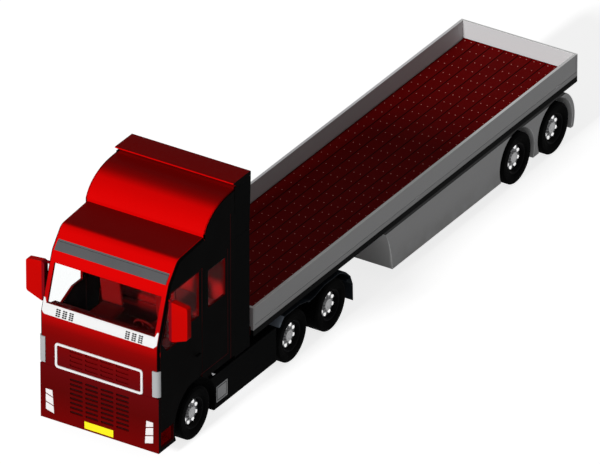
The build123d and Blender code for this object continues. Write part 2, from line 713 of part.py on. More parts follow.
# Guards over the drive wheels, on stays from the frame
guard_points = [(drive_axle_xs[0] + x, z) for x, z in guard_line]
guard = sheet(guard_points, guard_wall, guard_inner_y, half_width)
stay_z = guard_line[3][1]
guard += block(bogie_x - 40, bogie_x + 40, frame_half, half_width - 50, rail_top - 60, stay_z)
guard += block(guard_points[-2][0] + 25, frame_rear_x + 60, frame_half, half_width - 50, 690, 730)
save("drive_guards", *both(guard))

# Trailer frame: deep beams with a shallow neck, bearers and coupler plate; side rails; landing legs
rail_in_y = half_width - board_thick
floor_low = floor_top - plank_thick
beam_front_x, beam_rear_x = trailer_front_x - end_setback, trailer_rear_x + end_setback
neck_z = coupling_height + beam_flange_thick
beam_points = ((beam_front_x, neck_z), (beam_front_x, floor_low), (beam_rear_x, floor_low),
               (beam_rear_x, beam_deep_z), (deep_start_x, beam_deep_z), (neck_end_x, neck_z))
beam = plate(beam_points, beam_y - beam_web / 2, beam_y + beam_web / 2)
flange_y = (beam_y - beam_flange / 2, beam_y + beam_flange / 2)
lift = beam_flange_thick / 2
flange_line = ((beam_front_x, coupling_height + lift), (neck_end_x, coupling_height + lift),
               (deep_start_x, beam_deep_z + lift), (beam_rear_x, beam_deep_z + lift))
beam += sheet(flange_line, beam_flange_thick, *flange_y)
beam += block(beam_rear_x, beam_front_x, *flange_y, floor_low - beam_flange_thick, floor_low)
side_rail = block(trailer_rear_x, trailer_front_x, rail_in_y, half_width, coupling_height, platform_top)
rail_hollow = block(beam_rear_x, beam_front_x, rail_in_y - 1, half_width - side_wall,
                    coupling_height + side_wall, platform_top - side_wall)
side_rail -= rail_hollow
trailer_frame = beam + other_side(beam)
bearers = int((trailer_front_x - trailer_rear_x) / bearer_pitch)
bearer_step = (beam_front_x - beam_rear_x - 2 * bearer_half) / bearers
bearer_low = coupling_height + bearer_lift
bearer_xs = [beam_front_x - bearer_half - number * bearer_step for number in range(bearers + 1)]
bearer_reach = half_width - side_wall
for x in bearer_xs:
    trailer_frame += block(x - bearer_half, x + bearer_half, -bearer_reach, bearer_reach, bearer_low,
                           floor_low)
leg_x = bearer_xs[leg_bearer]
leg = block(leg_x - leg_half, leg_x + leg_half, leg_y - leg_half, leg_y + leg_half, leg_foot_z, bearer_low)
leg += block(leg_x - 130, leg_x + 130, leg_y - 110, leg_y + 110, leg_foot_z - leg_foot_thick, leg_foot_z)
coupler = block(coupling_x - coupler_reach, beam_front_x, -flange_y[1], flange_y[1], coupling_height, neck_z)
kingpin = rod("z", kingpin_radius, coupling_height - kingpin_length, coupling_height + 10, (coupling_x, 0))
trailer_frame += coupler
trailer_frame += kingpin
hinge_line_z = (platform_top + platform_top + rail_seat) / 2
board_low = platform_top + rail_seat
board_front_x = trailer_front_x - board_thick - 5
board_rear_x = trailer_rear_x + board_thick
board_hinge_y = half_width + 5
tail_hinge_x = trailer_rear_x - 5

side_board = block(board_rear_x, board_front_x, rail_in_y, half_width, board_low, board_top)
board_hinge_set = [hinge("x", x, board_hinge_half, (board_hinge_y, hinge_line_z)) for x in board_hinges]
right_hinge_set = [hinge("x", x, board_hinge_half, (-board_hinge_y, hinge_line_z)) for x in board_hinges]
left_rail, left_board = fit_hinges(side_rail, side_board, board_hinge_set)
right_rail, right_board = fit_hinges(other_side(side_rail), other_side(side_board), right_hinge_set)
save("side_rails", left_rail, right_rail)
save("trailer_frame", trailer_frame)
save("landing_legs", *both(leg))
save("board_left", left_board)
save("board_right", right_board)

# Platform: planks between the side rails, with a cross rail at each end
headboard_foot = floor_top - headboard_seat
trailer_floor = block(beam_rear_x, beam_front_x, -rail_in_y, rail_in_y, floor_low, floor_top)
plank_width = 2 * rail_in_y / planks
for number in range(1, planks):
    y = -rail_in_y + number * plank_width
    trailer_floor -= block(beam_rear_x, beam_front_x, y - plank_groove / 2, y + plank_groove / 2,
                           floor_top - plank_groove, floor_top + 1)
cross_rail_z = coupling_height + joint_line
trailer_floor += block(beam_front_x, trailer_front_x, -rail_in_y, rail_in_y, cross_rail_z, headboard_foot)
tail_rail = block(trailer_rear_x, beam_rear_x, -rail_in_y, rail_in_y, cross_rail_z, platform_top)
tailboard = block(trailer_rear_x, trailer_rear_x + tail_thick, -half_width, half_width, board_low, board_top)
tail_hinge_set = [hinge("y", y, board_hinge_half, (tail_hinge_x, hinge_line_z)) for y in tail_hinges]
tail_rail, tailboard = fit_hinges(tail_rail, tailboard, tail_hinge_set)
save("trailer_floor", trailer_floor + tail_rail)
save("tailboard", tailboard)

headboard_x = trailer_front_x - board_thick
headboard = block(headboard_x, trailer_front_x, -rail_in_y, rail_in_y, headboard_foot, board_top)
headboard += block(headboard_x, trailer_front_x, -half_width, half_width, platform_top, board_top)
save("headboard", headboard)

# Skirts with a curved front wall and round wheel openings
front_curve = ThreePointArc(*skirt_line)
skirt_top, skirt_foot = skirt_line[0], skirt_line[-1]
last_axle = trailer_axle_xs[-1]
skirt_rear_x = last_axle - last_guard
skirt_face = side_face(front_curve, Line(skirt_foot, (skirt_rear_x, ground_gap)),
                       Line((skirt_rear_x, ground_gap), (skirt_rear_x, coupling_height)),
                       Line((skirt_rear_x, coupling_height), skirt_top))
skirt = across(skirt_face, half_width - skin, half_width)
behind = block(skirt_rear_x - 10, last_axle, 0, half_width + 10, 0, coupling_height + 10)
behind -= rod_y(last_guard, 0, half_width + 10, last_axle, wheel_radius)
skirt -= behind
for x in trailer_axle_xs:
    skirt -= rod_y(skirt_arch, 0, half_width + 10, x, wheel_radius)
back_curve = ThreePointArc(*[(x - skin, z) for x, z in skirt_line])
wall_face = side_face(front_curve, Line(front_curve @ 1, back_curve @ 1), back_curve,
                      Line(back_curve @ 0, front_curve @ 0))
front_wall = across(wall_face, -half_width + skin, half_width - skin)
for side in (1, -1):
    front_wall -= block(-7000, -6000, side * (flange_y[0] - 10), side * (flange_y[1] + 10), beam_deep_z - 10,
                        coupling_height + 10)
skirts = skirt + other_side(skirt) + front_wall
save("skirts", skirts)

# Rear underrun bar on two hangers
underrun = block(trailer_rear_x + 20, trailer_rear_x + 120, -1180, 1180, bar_low_z, bar_high_z)
for side in (1, -1):
    underrun += block(trailer_rear_x + 60, trailer_rear_x + 120, side * (beam_y - 40), side * (beam_y + 40),
                      bar_low_z, beam_deep_z)
save("rear_underrun", underrun)
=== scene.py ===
from math import cos, pi, radians, sin, tau

import bmesh
import bpy
from mathutils import Matrix, Vector


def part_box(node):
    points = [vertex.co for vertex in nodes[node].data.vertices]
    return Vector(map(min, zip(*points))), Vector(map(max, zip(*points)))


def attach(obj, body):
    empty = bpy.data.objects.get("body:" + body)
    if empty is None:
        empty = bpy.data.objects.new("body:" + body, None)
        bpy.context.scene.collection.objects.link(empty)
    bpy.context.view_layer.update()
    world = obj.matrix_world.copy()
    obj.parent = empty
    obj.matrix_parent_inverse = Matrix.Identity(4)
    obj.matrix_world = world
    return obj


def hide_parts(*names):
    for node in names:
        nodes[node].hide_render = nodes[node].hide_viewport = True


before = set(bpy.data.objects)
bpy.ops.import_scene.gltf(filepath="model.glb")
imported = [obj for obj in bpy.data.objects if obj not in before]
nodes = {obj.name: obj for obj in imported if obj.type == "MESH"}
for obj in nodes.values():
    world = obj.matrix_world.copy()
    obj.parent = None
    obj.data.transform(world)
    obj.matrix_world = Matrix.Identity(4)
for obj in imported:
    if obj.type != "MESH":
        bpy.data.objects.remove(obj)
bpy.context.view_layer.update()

# Articulated lorry: red and black sleeper cab, grey drop-side trailer. Metres, X forward, Y left, Z up.
print("frame loaded with", len(nodes), "nodes")

wheelLow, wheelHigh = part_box("tyre_front_left")
axleX = (wheelLow.x + wheelHigh.x) / 2  # the front axle, from which the lengths below are measured
wheelRadius = (wheelLow.z + wheelHigh.z) / 2
bumperLow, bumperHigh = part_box("bumper")
noseX = bumperHigh.x
halfWidth = bumperHigh.y
scene = bpy.context.scene


# Camera, floor, world and lamps

cameraView = {
    "lens": 900, "sensor": 36, "fieldWidth": 10.8175, "clip": (10, 5000),
    "back": (0.7330, 0.4653, 0.4962), "aim": (0.4468, 0, 1.1964),
}
lightLook = {
    "sunFrom": (0.93, -0.02, 0.36), "sunStrength": 2.9, "sunAngle": 6, "ambient": 0.16,
    "floorSize": 400, "floorZ": -0.001, "floorColour": (0.5, 0.5, 0.5, 1), "floorGlow": 0.80,
}

camera = bpy.data.objects.new("camera", bpy.data.cameras.new("camera"))
scene.collection.objects.link(camera)
camera.data.lens = cameraView["lens"]
camera.data.sensor_width = cameraView["sensor"]
camera.data.clip_start, camera.data.clip_end = cameraView["clip"]
backward = Vector(cameraView["back"]).normalized()
reach = cameraView["fieldWidth"] * cameraView["lens"] / cameraView["sensor"]
camera.location = Vector(cameraView["aim"]) + backward * reach
camera.rotation_mode = "QUATERNION"
camera.rotation_quaternion = (-backward).to_track_quat("-Z", "Y")
scene.camera = camera
scene.view_settings.view_transform = "Standard"


class Wire:
    # One socket of a node tree. Arithmetic on it adds Math nodes, and node() adds any other.
    def __init__(self, tree, socket=None):
        self.tree = tree
        self.socket = socket

    def node(self, kind, settings=None, inputs=None, out=0):
        made = self.tree.nodes.new("ShaderNode" + kind)
        for name, value in (settings or {}).items():
            if name == "stops":
                for number, (position, colour) in enumerate(value):
                    stops = made.color_ramp.elements
                    stop = stops[number] if number < 2 else stops.new(position)
                    stop.position = position
                    stop.color = colour
            else:
                setattr(made, name, value)
        for name, value in (inputs or {}).items():
            if isinstance(value, Wire):
                self.tree.links.new(value.socket, made.inputs[name])
            else:
                made.inputs[name].default_value = value
        return Wire(self.tree, made.outputs[out])

    def math(self, operation, *values):
        return self.node("Math", {"operation": operation}, dict(enumerate(values)))

    def __add__(self, other):
        return self.math("ADD", self, other)

    def __rsub__(self, other):
        return self.math("SUBTRACT", other, self)

    def __mul__(self, other):
        return self.math("MULTIPLY", self, other)

    def __abs__(self):
        return self.math("ABSOLUTE", self)

    __radd__ = __add__


def rise(value, low, high):  # 0 below low, 1 above high, smooth between
    return value.node("MapRange", {"interpolation_type": "SMOOTHSTEP"},
                      {"Value": value, "From Min": low, "From Max": high})


def within(value, low, high, soft):
    return rise(value, low - soft, low) * (1 - rise(value, high, high + soft))


def larger(first, second):
    return first.math("MAXIMUM", first, second)


def mixed(factor, first, second):
    return factor.node("Mix", {"data_type": "RGBA"}, {0: factor, 6: first, 7: second}, 2)


def noise(spot, scale, detail=3.0, rough=0.55):
    return spot.node("TexNoise", None, {"Vector": spot, "Scale": scale, "Detail": detail, "Roughness": rough})


def stretched(spot, scale):
    return spot.node("Mapping", None, {"Vector": spot, "Scale": scale})


def axis(spot, letter):
    return spot.node("SeparateXYZ", None, {"Vector": spot}, letter)


def facing(wire, letter):
    return axis(wire.node("TexCoord", out="Normal"), letter)


def bumped(height, strength, distance):
    return height.node("Bump", None, {"Height": height, "Strength": strength, "Distance": distance})


def startMaterial(name):
    material = bpy.data.materials.new(name)
    material.use_nodes = True
    wire = Wire(material.node_tree)
    spot = wire.node("TexCoord", out="Object")
    return material, wire, spot


def setShader(material, values):
    shader = material.node_tree.nodes["Principled BSDF"]
    for name, value in values.items():
        if isinstance(value, Wire):
            material.node_tree.links.new(value.socket, shader.inputs[name])
        else:
            shader.inputs[name].default_value = value
    return material


def rgb(red, green, blue):
    return red, green, blue, 1


def seenDirectly(wire):
    # 1 where the camera, metal or glass sees the background, 0 where it only lights the lorry
    seen = wire.node("LightPath", out="Is Camera Ray")
    for ray in ("Is Glossy Ray", "Is Transmission Ray"):
        seen = larger(seen, wire.node("LightPath", out=ray))
    return seen


def makeWorld():
    world = bpy.data.worlds.new("studio")
    world.use_nodes = True
    scene.world = world
    wire = Wire(world.node_tree)
    background = world.node_tree.nodes["Background"]
    background.inputs["Color"].default_value = rgb(1, 1, 1)
    level = seenDirectly(wire) * (1 - lightLook["ambient"]) + lightLook["ambient"]
    world.node_tree.links.new(level.socket, background.inputs["Strength"])


def makeFloor():
    bm = bmesh.new()
    bmesh.ops.create_grid(bm, x_segments=1, y_segments=1, size=lightLook["floorSize"])
    mesh = bpy.data.meshes.new("floor")
    bm.to_mesh(mesh)
    bm.free()
    floor = bpy.data.objects.new("floor", mesh)
    scene.collection.objects.link(floor)
    floor.location.z = lightLook["floorZ"]
    material, wire, _ = startMaterial("floorPale")
    tree = material.node_tree
    matt = wire.node("BsdfDiffuse", None, {"Color": lightLook["floorColour"]})
    glow = wire.node("Emission", None, {"Strength": seenDirectly(wire) * lightLook["floorGlow"]})
    both = wire.node("AddShader", None, {0: matt, 1: glow})
    tree.links.new(both.socket, tree.nodes["Material Output"].inputs["Surface"])
    mesh.materials.append(material)


def makeLamps():
    sun = bpy.data.objects.new("sun", bpy.data.lights.new("sun", "SUN"))
    sun.data.energy = lightLook["sunStrength"]
    sun.data.angle = radians(lightLook["sunAngle"])
    sun.rotation_mode = "QUATERNION"
    sun.rotation_quaternion = Vector(lightLook["sunFrom"]).to_track_quat("Z", "Y")
    scene.collection.objects.link(sun)


makeWorld()
makeFloor()
makeLamps()
print("camera, floor and lamps set")


# Finishes

cabLook = {
    "topZ": 4.6,
    # height and colour of each stage from the bumper up: painted shade darkens the lower stages and painted
    # light brightens the header
    "paintedLightAndShadeReds": ((0.30, rgb(0.150, 0.0015, 0.0015)), (0.90, rgb(0.100, 0.002, 0.002)),
             (1.45, rgb(0.125, 0.003, 0.004)), (2.00, rgb(0.200, 0.002, 0.002)),
             (2.15, rgb(0.250, 0.002, 0.002)), (2.32, rgb(0.43, 0.002, 0.002)),
             (2.95, rgb(0.48, 0.002, 0.003)), (3.38, rgb(0.69, 0.001, 0.001))),
    # painted shade for faces that look up; the random mottle uses the same dark red
    "topShadeAndMottleRed": rgb(0.135, 0.001, 0.001), "paintedTopShade": (0.88, 1.0),
    "black": rgb(0.0012, 0.0010, 0.0010), "edgeRed": rgb(0.10, 0.006, 0.008),
    "stepRed": rgb(0.60, 0.002, 0.002), "stepX": (0.69, 1.12), "stepZ": (0.31, 0.66),
    "stepIn": (0.225, 0.051),  # how far in from the side the step's room begins and ends
    "mirrorRed": rgb(0.58, 0.002, 0.001), "mirrorArmRed": rgb(0.21, 0.004, 0.008),
    "mirrorOut": (0.02, 0.115, 0.5),  # where the arm and the mirror begin outside the doors, and their end
    "sideFrom": 0.056,  # how far in from each side a face that looks sideways is black
    "sideways": (0.30, 0.50),
    "pinstripes": ((-1.083, 1.20, 3.34), (-1.175, 1.05, 4.0)),
    "sill": (1.20, -1.08, -0.20), "lineHalf": (0.004, 0.003),
    "visor": (3.625, 3.658, 1.165), "visorFrom": 0.4, "visorGrey": rgb(0.115, 0.115, 0.12),
    "specular": 0.008,
}


def cabPaint():
    # red where it looks ahead or up, with painted shade on top faces and low down, painted light at the
    # header, and black sides with thin red lines
    look = cabLook
    material, wire, spot = startMaterial("cabPaint")
    x, y, z = (axis(spot, letter) for letter in "XYZ")
    sideways = rise(abs(facing(wire, "Y")), *look["sideways"])
    # painted shade: faces that look up are darkened towards the roof's dark red
    up = rise(facing(wire, "Z"), *look["paintedTopShade"])
    away = abs(y)
    # painted shade and light: the red darkens towards the bumper and brightens at the header
    stops = [(height / look["topZ"], colour) for height, colour in look["paintedLightAndShadeReds"]]
    red = wire.node("ValToRGB", {"stops": stops}, {0: z * (1 / look["topZ"])})
    red = mixed(up * 0.96, red, look["topShadeAndMottleRed"])
    stepBack, stepFront = (axleX + edge for edge in look["stepX"])
    inStep = within(x, stepBack, stepFront, 0.004) * within(z, *look["stepZ"], 0.004)
    inStep = inStep * within(away, *(halfWidth - depth for depth in look["stepIn"]), 0.002)
    red = mixed(inStep, red, look["stepRed"])
    armOut, mirrorOut, endOut = (halfWidth + out for out in look["mirrorOut"])
    red = mixed(within(away, armOut, endOut, 0.01) * 0.8, red, look["mirrorRed"])
    red = mixed(within(away, armOut, mirrorOut, 0.01), red, look["mirrorArmRed"])
    mottle = noise(spot, 2.2, 2)
    red = mixed(mottle * 0.08, red, look["topShadeAndMottleRed"])
    lowZ, highZ, half = look["visor"]
    visor = within(z, lowZ, highZ, 0.003) * (1 - rise(away, half, half + 0.003)) * (1 - sideways)
    red = mixed(visor * within(x, axleX + look["visorFrom"], noseX, 0.01), red, look["visorGrey"])
    side = within(away, halfWidth - look["sideFrom"], halfWidth + 0.012, 0.002) * sideways
    upright, level = look["lineHalf"]
    sillZ, sillBack, sillFront = look["sill"]
    lines = within(z, sillZ - level, sillZ + level, 0.004)
    lines = lines * within(x, axleX + sillBack, axleX + sillFront, 0.01)
    for lineX, lowZ, highZ in look["pinstripes"]:
        one = within(x, axleX + lineX - upright, axleX + lineX + upright, 0.003)
        lines = larger(lines, one * within(z, lowZ, highZ, 0.01))
    black = mixed(lines, look["black"], look["edgeRed"])
    peel = noise(spot, 240, 2)
    return setShader(material, {
        "Base Color": mixed(side, red, black), "Roughness": 0.34 + mottle * 0.10 + side * 0.2,
        "Specular IOR Level": look["specular"],
        "Normal": bumped(peel, 0.05, 0.0006),
    })


def plainFinish(name, colour, dusty, rough, grainScale, bumpStrength, metal=0.0, specular=0.4,
                streak=(1, 1, 1), vary=0.35):
    # colour broken up by broad stains and by fine grain, which also lifts the surface a little
    material, wire, spot = startMaterial(name)
    broad = noise(spot, 1.7, 4)
    fine = noise(stretched(spot, streak), grainScale, 3)
    stain = rise(broad, 0.42, 0.75)
    shade = mixed(stain * vary, colour, dusty)
    shade = mixed(rise(fine, 0.55, 0.8) * vary * 0.4, shade, dusty)
    return setShader(material, {
        "Base Color": shade,
        "Metallic": metal, "Roughness": rough + fine * 0.12 + stain * 0.06, "Specular IOR Level": specular,
        "Normal": bumped(fine, bumpStrength, 0.001),
    })


greyLook = {
    "grey": rgb(0.60, 0.60, 0.605), "rolled": rgb(0.52, 0.52, 0.53),
    "scuffed": rgb(0.78, 0.78, 0.78), "dirt": rgb(0.30, 0.28, 0.26),
    # painted light: a paler band along the boards' top edge
    "paintedLightTopEdge": (1.702, 1.706, rgb(0.80, 0.80, 0.80)),
    "paintedLightAhead": rgb(0.93, 0.93, 0.93),  # painted light below the boards, where the sheet looks forward
    "belt": (1.072, 1.249, 1.20),  # the black band under the boards: its heights and where it starts sideways
    "black": rgb(0.002, 0.002, 0.002), "railBlackTo": 1.250,
}


def rolledGrey(spot):
    roll = noise(stretched(spot, (0.6, 4, 14)), 3, 3)
    return roll, mixed(roll * 0.3, greyLook["grey"], greyLook["rolled"])


def boardPaint():
    # grey sheet: long rolling marks, faint scuffs and dirt gathered low down, with painted light on the top
    # edge and on forward faces below the boards
    look = greyLook
    material, wire, spot = startMaterial("greyPaint")
    z = axis(spot, "Z")
    roll, shade = rolledGrey(spot)
    scuff = rise(noise(stretched(spot, (1.5, 8, 30)), 6, 5, 0.7), 0.62, 0.72)
    dirt = (1 - rise(z, 0.22, 0.75)) * rise(noise(spot, 3, 4), 0.35, 0.7)
    shade = mixed(scuff * 0.10, shade, look["scuffed"])
    shade = mixed(dirt * 0.25, shade, look["dirt"])
    edgeLow, edgeHigh, paintedLightColour = look["paintedLightTopEdge"]
    # painted light on the boards' top edge
    shade = mixed(rise(z, edgeLow, edgeHigh), shade, paintedLightColour)
    # painted light on forward faces below the boards, which the tractor shades
    paintedLightAhead = rise(facing(wire, "X"), 0.25, 0.60) * (1 - rise(z, 1.25, 1.26))
    shade = mixed(paintedLightAhead, shade, look["paintedLightAhead"])
    beltLow, beltHigh, beltY = look["belt"]
    belt = within(z, beltLow, beltHigh, 0.002) * rise(abs(axis(spot, "Y")), beltY, beltY + 0.01)
    shade = mixed(belt, shade, look["black"])
    return setShader(material, {
        "Base Color": shade, "Roughness": 0.42 + roll * 0.12 + dirt * 0.2, "Specular IOR Level": 0.08,
        "Normal": bumped(roll + noise(spot, 180, 2) * 0.3, 0.06, 0.002),
    })


def railPaint():
    # the upper part is painted like the boards, and the lower part is bare black
    material, wire, spot = startMaterial("railPaint")
    edge = greyLook["railBlackTo"]
    roll, grey = rolledGrey(spot)
    shade = mixed(rise(axis(spot, "Z"), edge, edge + 0.003), greyLook["black"], grey)
    return setShader(material, {
        "Base Color": shade, "Roughness": 0.45 + roll * 0.12, "Specular IOR Level": 0.01,
        "Normal": bumped(roll, 0.06, 0.002),
    })


planks = {
    "count": 8, "half": 1.195,
    # the planks' reds are darkened with painted shade, like the cab's top faces
    "red": rgb(0.130, 0.0005, 0.0008), "grainRed": rgb(0.165, 0.001, 0.0012),
    "darkPlank": rgb(0.050, 0.0005, 0.0005), "worn": rgb(0.16, 0.006, 0.005),
    "joint": rgb(0.020, 0.0002, 0.0002),
    "jointHalf": (0.034, 0.050),  # as parts of a plank's width
    "toneSteps": 3.35,
    "screwsLong": 36, "screwsAcross": (0.27, 0.73), "screwEnds": 0.12, "screwRadius": 0.010,
    "screwUnder": 0.022,  # a screw's middle below the end rails' top
}


def plankPaint():
    # dark red planks, the cab's red darkened with painted shade: grain along the lorry, worn tracks where
    # loads slide
    material, wire, spot = startMaterial("plankRed")
    y = axis(spot, "Y")
    grain = noise(stretched(spot, (1, 26, 26)), 3.5, 5, 0.6)
    wear = rise(noise(stretched(spot, (0.5, 5, 5)), 1.6, 4), 0.5, 0.72)
    tone = wire.math("FLOOR", y * planks["toneSteps"])
    tone = noise(wire.node("CombineXYZ", None, {"X": tone}), 9.7, 0)
    joint = (y + planks["half"]) * (planks["count"] / (2 * planks["half"]))
    joint = wire.math("PINGPONG", joint, 0.5)
    shade = mixed(grain, planks["red"], planks["grainRed"])
    shade = mixed(tone * 0.35, shade, planks["darkPlank"])
    shade = mixed(wear * 0.10, shade, planks["worn"])
    shade = mixed(1 - rise(joint, *planks["jointHalf"]), shade, planks["joint"])
    return setShader(material, {
        "Base Color": shade, "Roughness": 0.72 + grain * 0.15, "Specular IOR Level": 0.03,
        "Normal": bumped(grain, 0.25, 0.0025),
    })


guardLook = {
    "plastic": rgb(0.010, 0.0135, 0.018), "dusty": rgb(0.03, 0.035, 0.042),
    # the colour of the painted highlight on forward slopes
    "slope": rgb(0.40, 0.46, 0.55),
}


def guardPaint():
    # dark blue-grey plastic, with a painted highlight on the slopes that look forward
    material, wire, spot = startMaterial("guardPlastic")
    fine = noise(spot, 120, 3)
    stain = rise(noise(spot, 1.7, 4), 0.42, 0.75)
    shade = mixed(stain * 0.35, guardLook["plastic"], guardLook["dusty"])
    # painted highlight on faces that look forward and a little up
    slope = rise(facing(wire, "X"), 0.35, 0.60) * rise(facing(wire, "Z"), 0.05, 0.20)
    shade = mixed(slope, shade, guardLook["slope"])
    return setShader(material, {
        "Base Color": shade, "Roughness": 0.5 + fine * 0.12, "Specular IOR Level": 0.04,
        "Normal": bumped(fine, 0.2, 0.001),
    })


def rubber():
    material, wire, spot = startMaterial("tyreRubber")
    fine = noise(spot, 120, 3)
    dust = rise(noise(spot, 5, 4), 0.5, 0.75)
    shade = mixed(dust * 0.5, rgb(0.0025, 0.0025, 0.0026), rgb(0.009, 0.0088, 0.0085))
    return setShader(material, {
        "Base Color": shade, "Roughness": 0.8 + fine * 0.12, "Specular IOR Level": 0.02,
        "Normal": bumped(fine, 0.2, 0.001),
    })


def brightMetal(name, colour, rough, metal=1.0):
    # turned metal: fine rings round the wheel would not show, so the marks are short and irregular
    material, wire, spot = startMaterial(name)
    marks = noise(stretched(spot, (8, 1, 8)), 40, 3)
    cloud = noise(spot, 9, 3)
    shade = mixed(cloud * 0.4, colour, tuple(0.72 * c for c in colour[:3]) + (1,))
    return setShader(material, {
        "Base Color": shade,
        "Metallic": metal, "Roughness": rough + marks * 0.14,
        "Normal": bumped(marks, 0.06, 0.0006),
    })


def clearGlass():
    # thin glazing: light goes straight through, and the sky shows only as a faint gloss
    material, wire, spot = startMaterial("windowGlass")
    tree = material.node_tree
    smear = noise(stretched(spot, (1, 1, 3)), 4, 3)
    gloss = wire.node("LayerWeight", None, {"Blend": 0.35}, "Facing")
    through = wire.node("BsdfTransparent", None, {"Color": rgb(0.985, 0.99, 0.99)})
    shine = wire.node("BsdfGlossy", None, {"Color": rgb(0.9, 0.92, 0.95), "Roughness": smear * 0.08 + 0.02})
    pane = wire.node("MixShader", None, {0: gloss * 0.015, 1: through, 2: shine})
    tree.links.new(pane.socket, tree.nodes["Material Output"].inputs["Surface"])
    return material


def lampLens(name, colour, ribs):
    material, wire, spot = startMaterial(name)
    rib = wire.node("TexWave", {"bands_direction": "Y"}, {"Vector": spot, "Scale": ribs})
    shade = mixed(rib * 0.25, colour, tuple(0.55 * c for c in colour[:3]) + (1,))
    return setShader(material, {
        "Base Color": shade, "Roughness": 0.12,
        "Coat Weight": 0.8,
        "Normal": bumped(rib, 0.25, 0.002),
    })


def cloth(name, colour, thread):
    material, wire, spot = startMaterial(name)
    threads = {"Vector": spot, "Scale": 160, "Distortion": 0.6}
    warp, weft = (wire.node("TexWave", {"bands_direction": way}, threads) for way in "XZ")
    weave = warp * weft
    worn = rise(noise(spot, 4, 4), 0.45, 0.75)
    shade = mixed(weave * 0.6 + worn * 0.15, colour, thread)
    return setShader(material, {
        "Base Color": shade, "Roughness": 0.85, "Specular IOR Level": 0.02,
        "Sheen Weight": 0.03,
        "Normal": bumped(weave, 0.3, 0.0008),
    })


finishes = {
    "cabPaint": cabPaint(),
    "greyPaint": boardPaint(),
    "plankRed": plankPaint(),
    "railPaint": railPaint(),
    "tyreRubber": rubber(),
    "windowGlass": clearGlass(),
    "guardPlastic": guardPaint(),
    "seatCloth": cloth("seatCloth", rgb(0.26, 0.002, 0.002), rgb(0.16, 0.001, 0.001)),
    "discGrey": brightMetal("discGrey", rgb(0.17, 0.17, 0.175), 0.42),
    "hubGrey": brightMetal("hubGrey", rgb(0.34, 0.34, 0.345), 0.32),
    "capBright": brightMetal("capBright", rgb(0.95, 0.95, 0.95), 0.16),
    "mirrorSilver": brightMetal("mirrorSilver", rgb(0.9, 0.92, 0.94), 0.02),
    "screwZinc": brightMetal("screwZinc", rgb(0.75, 0.26, 0.22), 0.5, 0.1),
    "lensClear": lampLens("lensClear", rgb(0.90, 0.86, 0.86), 30),
    "lensRed": lampLens("lensRed", rgb(0.45, 0.004, 0.004), 50),
    "lensAmber": lampLens("lensAmber", rgb(0.75, 0.20, 0.004), 50),
}
# colour, dusty colour, roughness, scale of the grain, bump, and what else is given
plainLooks = {
    "blackPlastic": (rgb(0.0015, 0.0016, 0.0017), rgb(0.006, 0.006, 0.0065), 0.6, 150, 0.2,
                     {"specular": 0.01}),
    "chassisSteel": (rgb(0.004, 0.004, 0.0045), rgb(0.018, 0.016, 0.014), 0.6, 45, 0.3, {"specular": 0.03}),
    "castMetal": (rgb(0.12, 0.12, 0.12), rgb(0.05, 0.045, 0.04), 0.6, 80, 0.5, {"metal": 0.6}),
    "couplingSteel": (rgb(0.22, 0.22, 0.22), rgb(0.03, 0.028, 0.025), 0.35, 50, 0.3,
                      {"metal": 0.9, "streak": (1, 6, 1)}),
    "tankAlloy": (rgb(0.62, 0.62, 0.64), rgb(0.45, 0.45, 0.46), 0.28, 30, 0.1,
                  {"metal": 1.0, "streak": (1, 1, 14)}),
    "whiteTrim": (rgb(0.80, 0.80, 0.80), rgb(0.66, 0.64, 0.62), 0.35, 120, 0.05, {"vary": 0.3}),
    "lightTrim": (rgb(0.40, 0.41, 0.42), rgb(0.30, 0.30, 0.31), 0.38, 140, 0.08, {}),
    "visorTrim": (rgb(0.10, 0.10, 0.105), rgb(0.075, 0.075, 0.078), 0.5, 160, 0.08, {"specular": 0.06}),
    "floorMat": (rgb(0.11, 0.002, 0.002), rgb(0.06, 0.003, 0.003), 0.8, 90, 0.4, {"specular": 0.02}),
    "dashPlastic": (rgb(0.17, 0.0015, 0.002), rgb(0.10, 0.002, 0.002), 0.6, 260, 0.3, {"specular": 0.03}),
    "plateYellow": (rgb(0.95, 0.86, 0.0), rgb(0.85, 0.74, 0.0), 0.4, 200, 0.05, {"vary": 0.2}),
    "gapBlack": (rgb(0.004, 0.002, 0.002), rgb(0.012, 0.006, 0.006), 0.7, 90, 0.3, {"specular": 0.1}),
    # painted shade: the dark red inside the grille's slots
    "slotRed": (rgb(0.055, 0.0010, 0.0012), rgb(0.035, 0.001, 0.001), 0.6, 120, 0.2, {"specular": 0.05}),
}
for name, (*values, others) in plainLooks.items():
    finishes[name] = plainFinish(name, *values, **others)

nodeFinish = {
    "cabPaint": ("cab_sides", "cab_rear", "cab_roof", "cab_front", "bumper", "bumper_corners",
                 "roof_deflector", "door_left", "door_right"),
    "greyPaint": ("headboard", "board_left", "board_right", "tailboard", "skirts"),
    "plankRed": ("trailer_floor",),
    "windowGlass": ("cab_glass", "door_glass_left", "door_glass_right"),
    "blackPlastic": ("side_collars", "side_fairings"),
    "guardPlastic": ("drive_guards",),
    "chassisSteel": ("tractor_frame", "tractor_axles", "knuckle_left", "knuckle_right", "trailer_frame",
                     "trailer_axles", "landing_legs", "rear_underrun"),
    "castMetal": ("engine",),
    "couplingSteel": ("fifth_wheel",),
    "tankAlloy": ("side_tanks",),
    "whiteTrim": ("front_trim",),
    "lightTrim": ("corner_deflectors",),
    "visorTrim": ("visor",),
    "railPaint": ("side_rails",),
    "floorMat": ("cab_floor",),
    "dashPlastic": ("dashboard",),
    "seatCloth": ("cab_seats",),
    "lensClear": ("lamps",),
}
for finish, names in nodeFinish.items():
    for name in names:
        nodes[name].data.materials.clear()
        nodes[name].data.materials.append(finishes[finish])
print("finishes made and given to the frame's nodes")


# Shaping tools

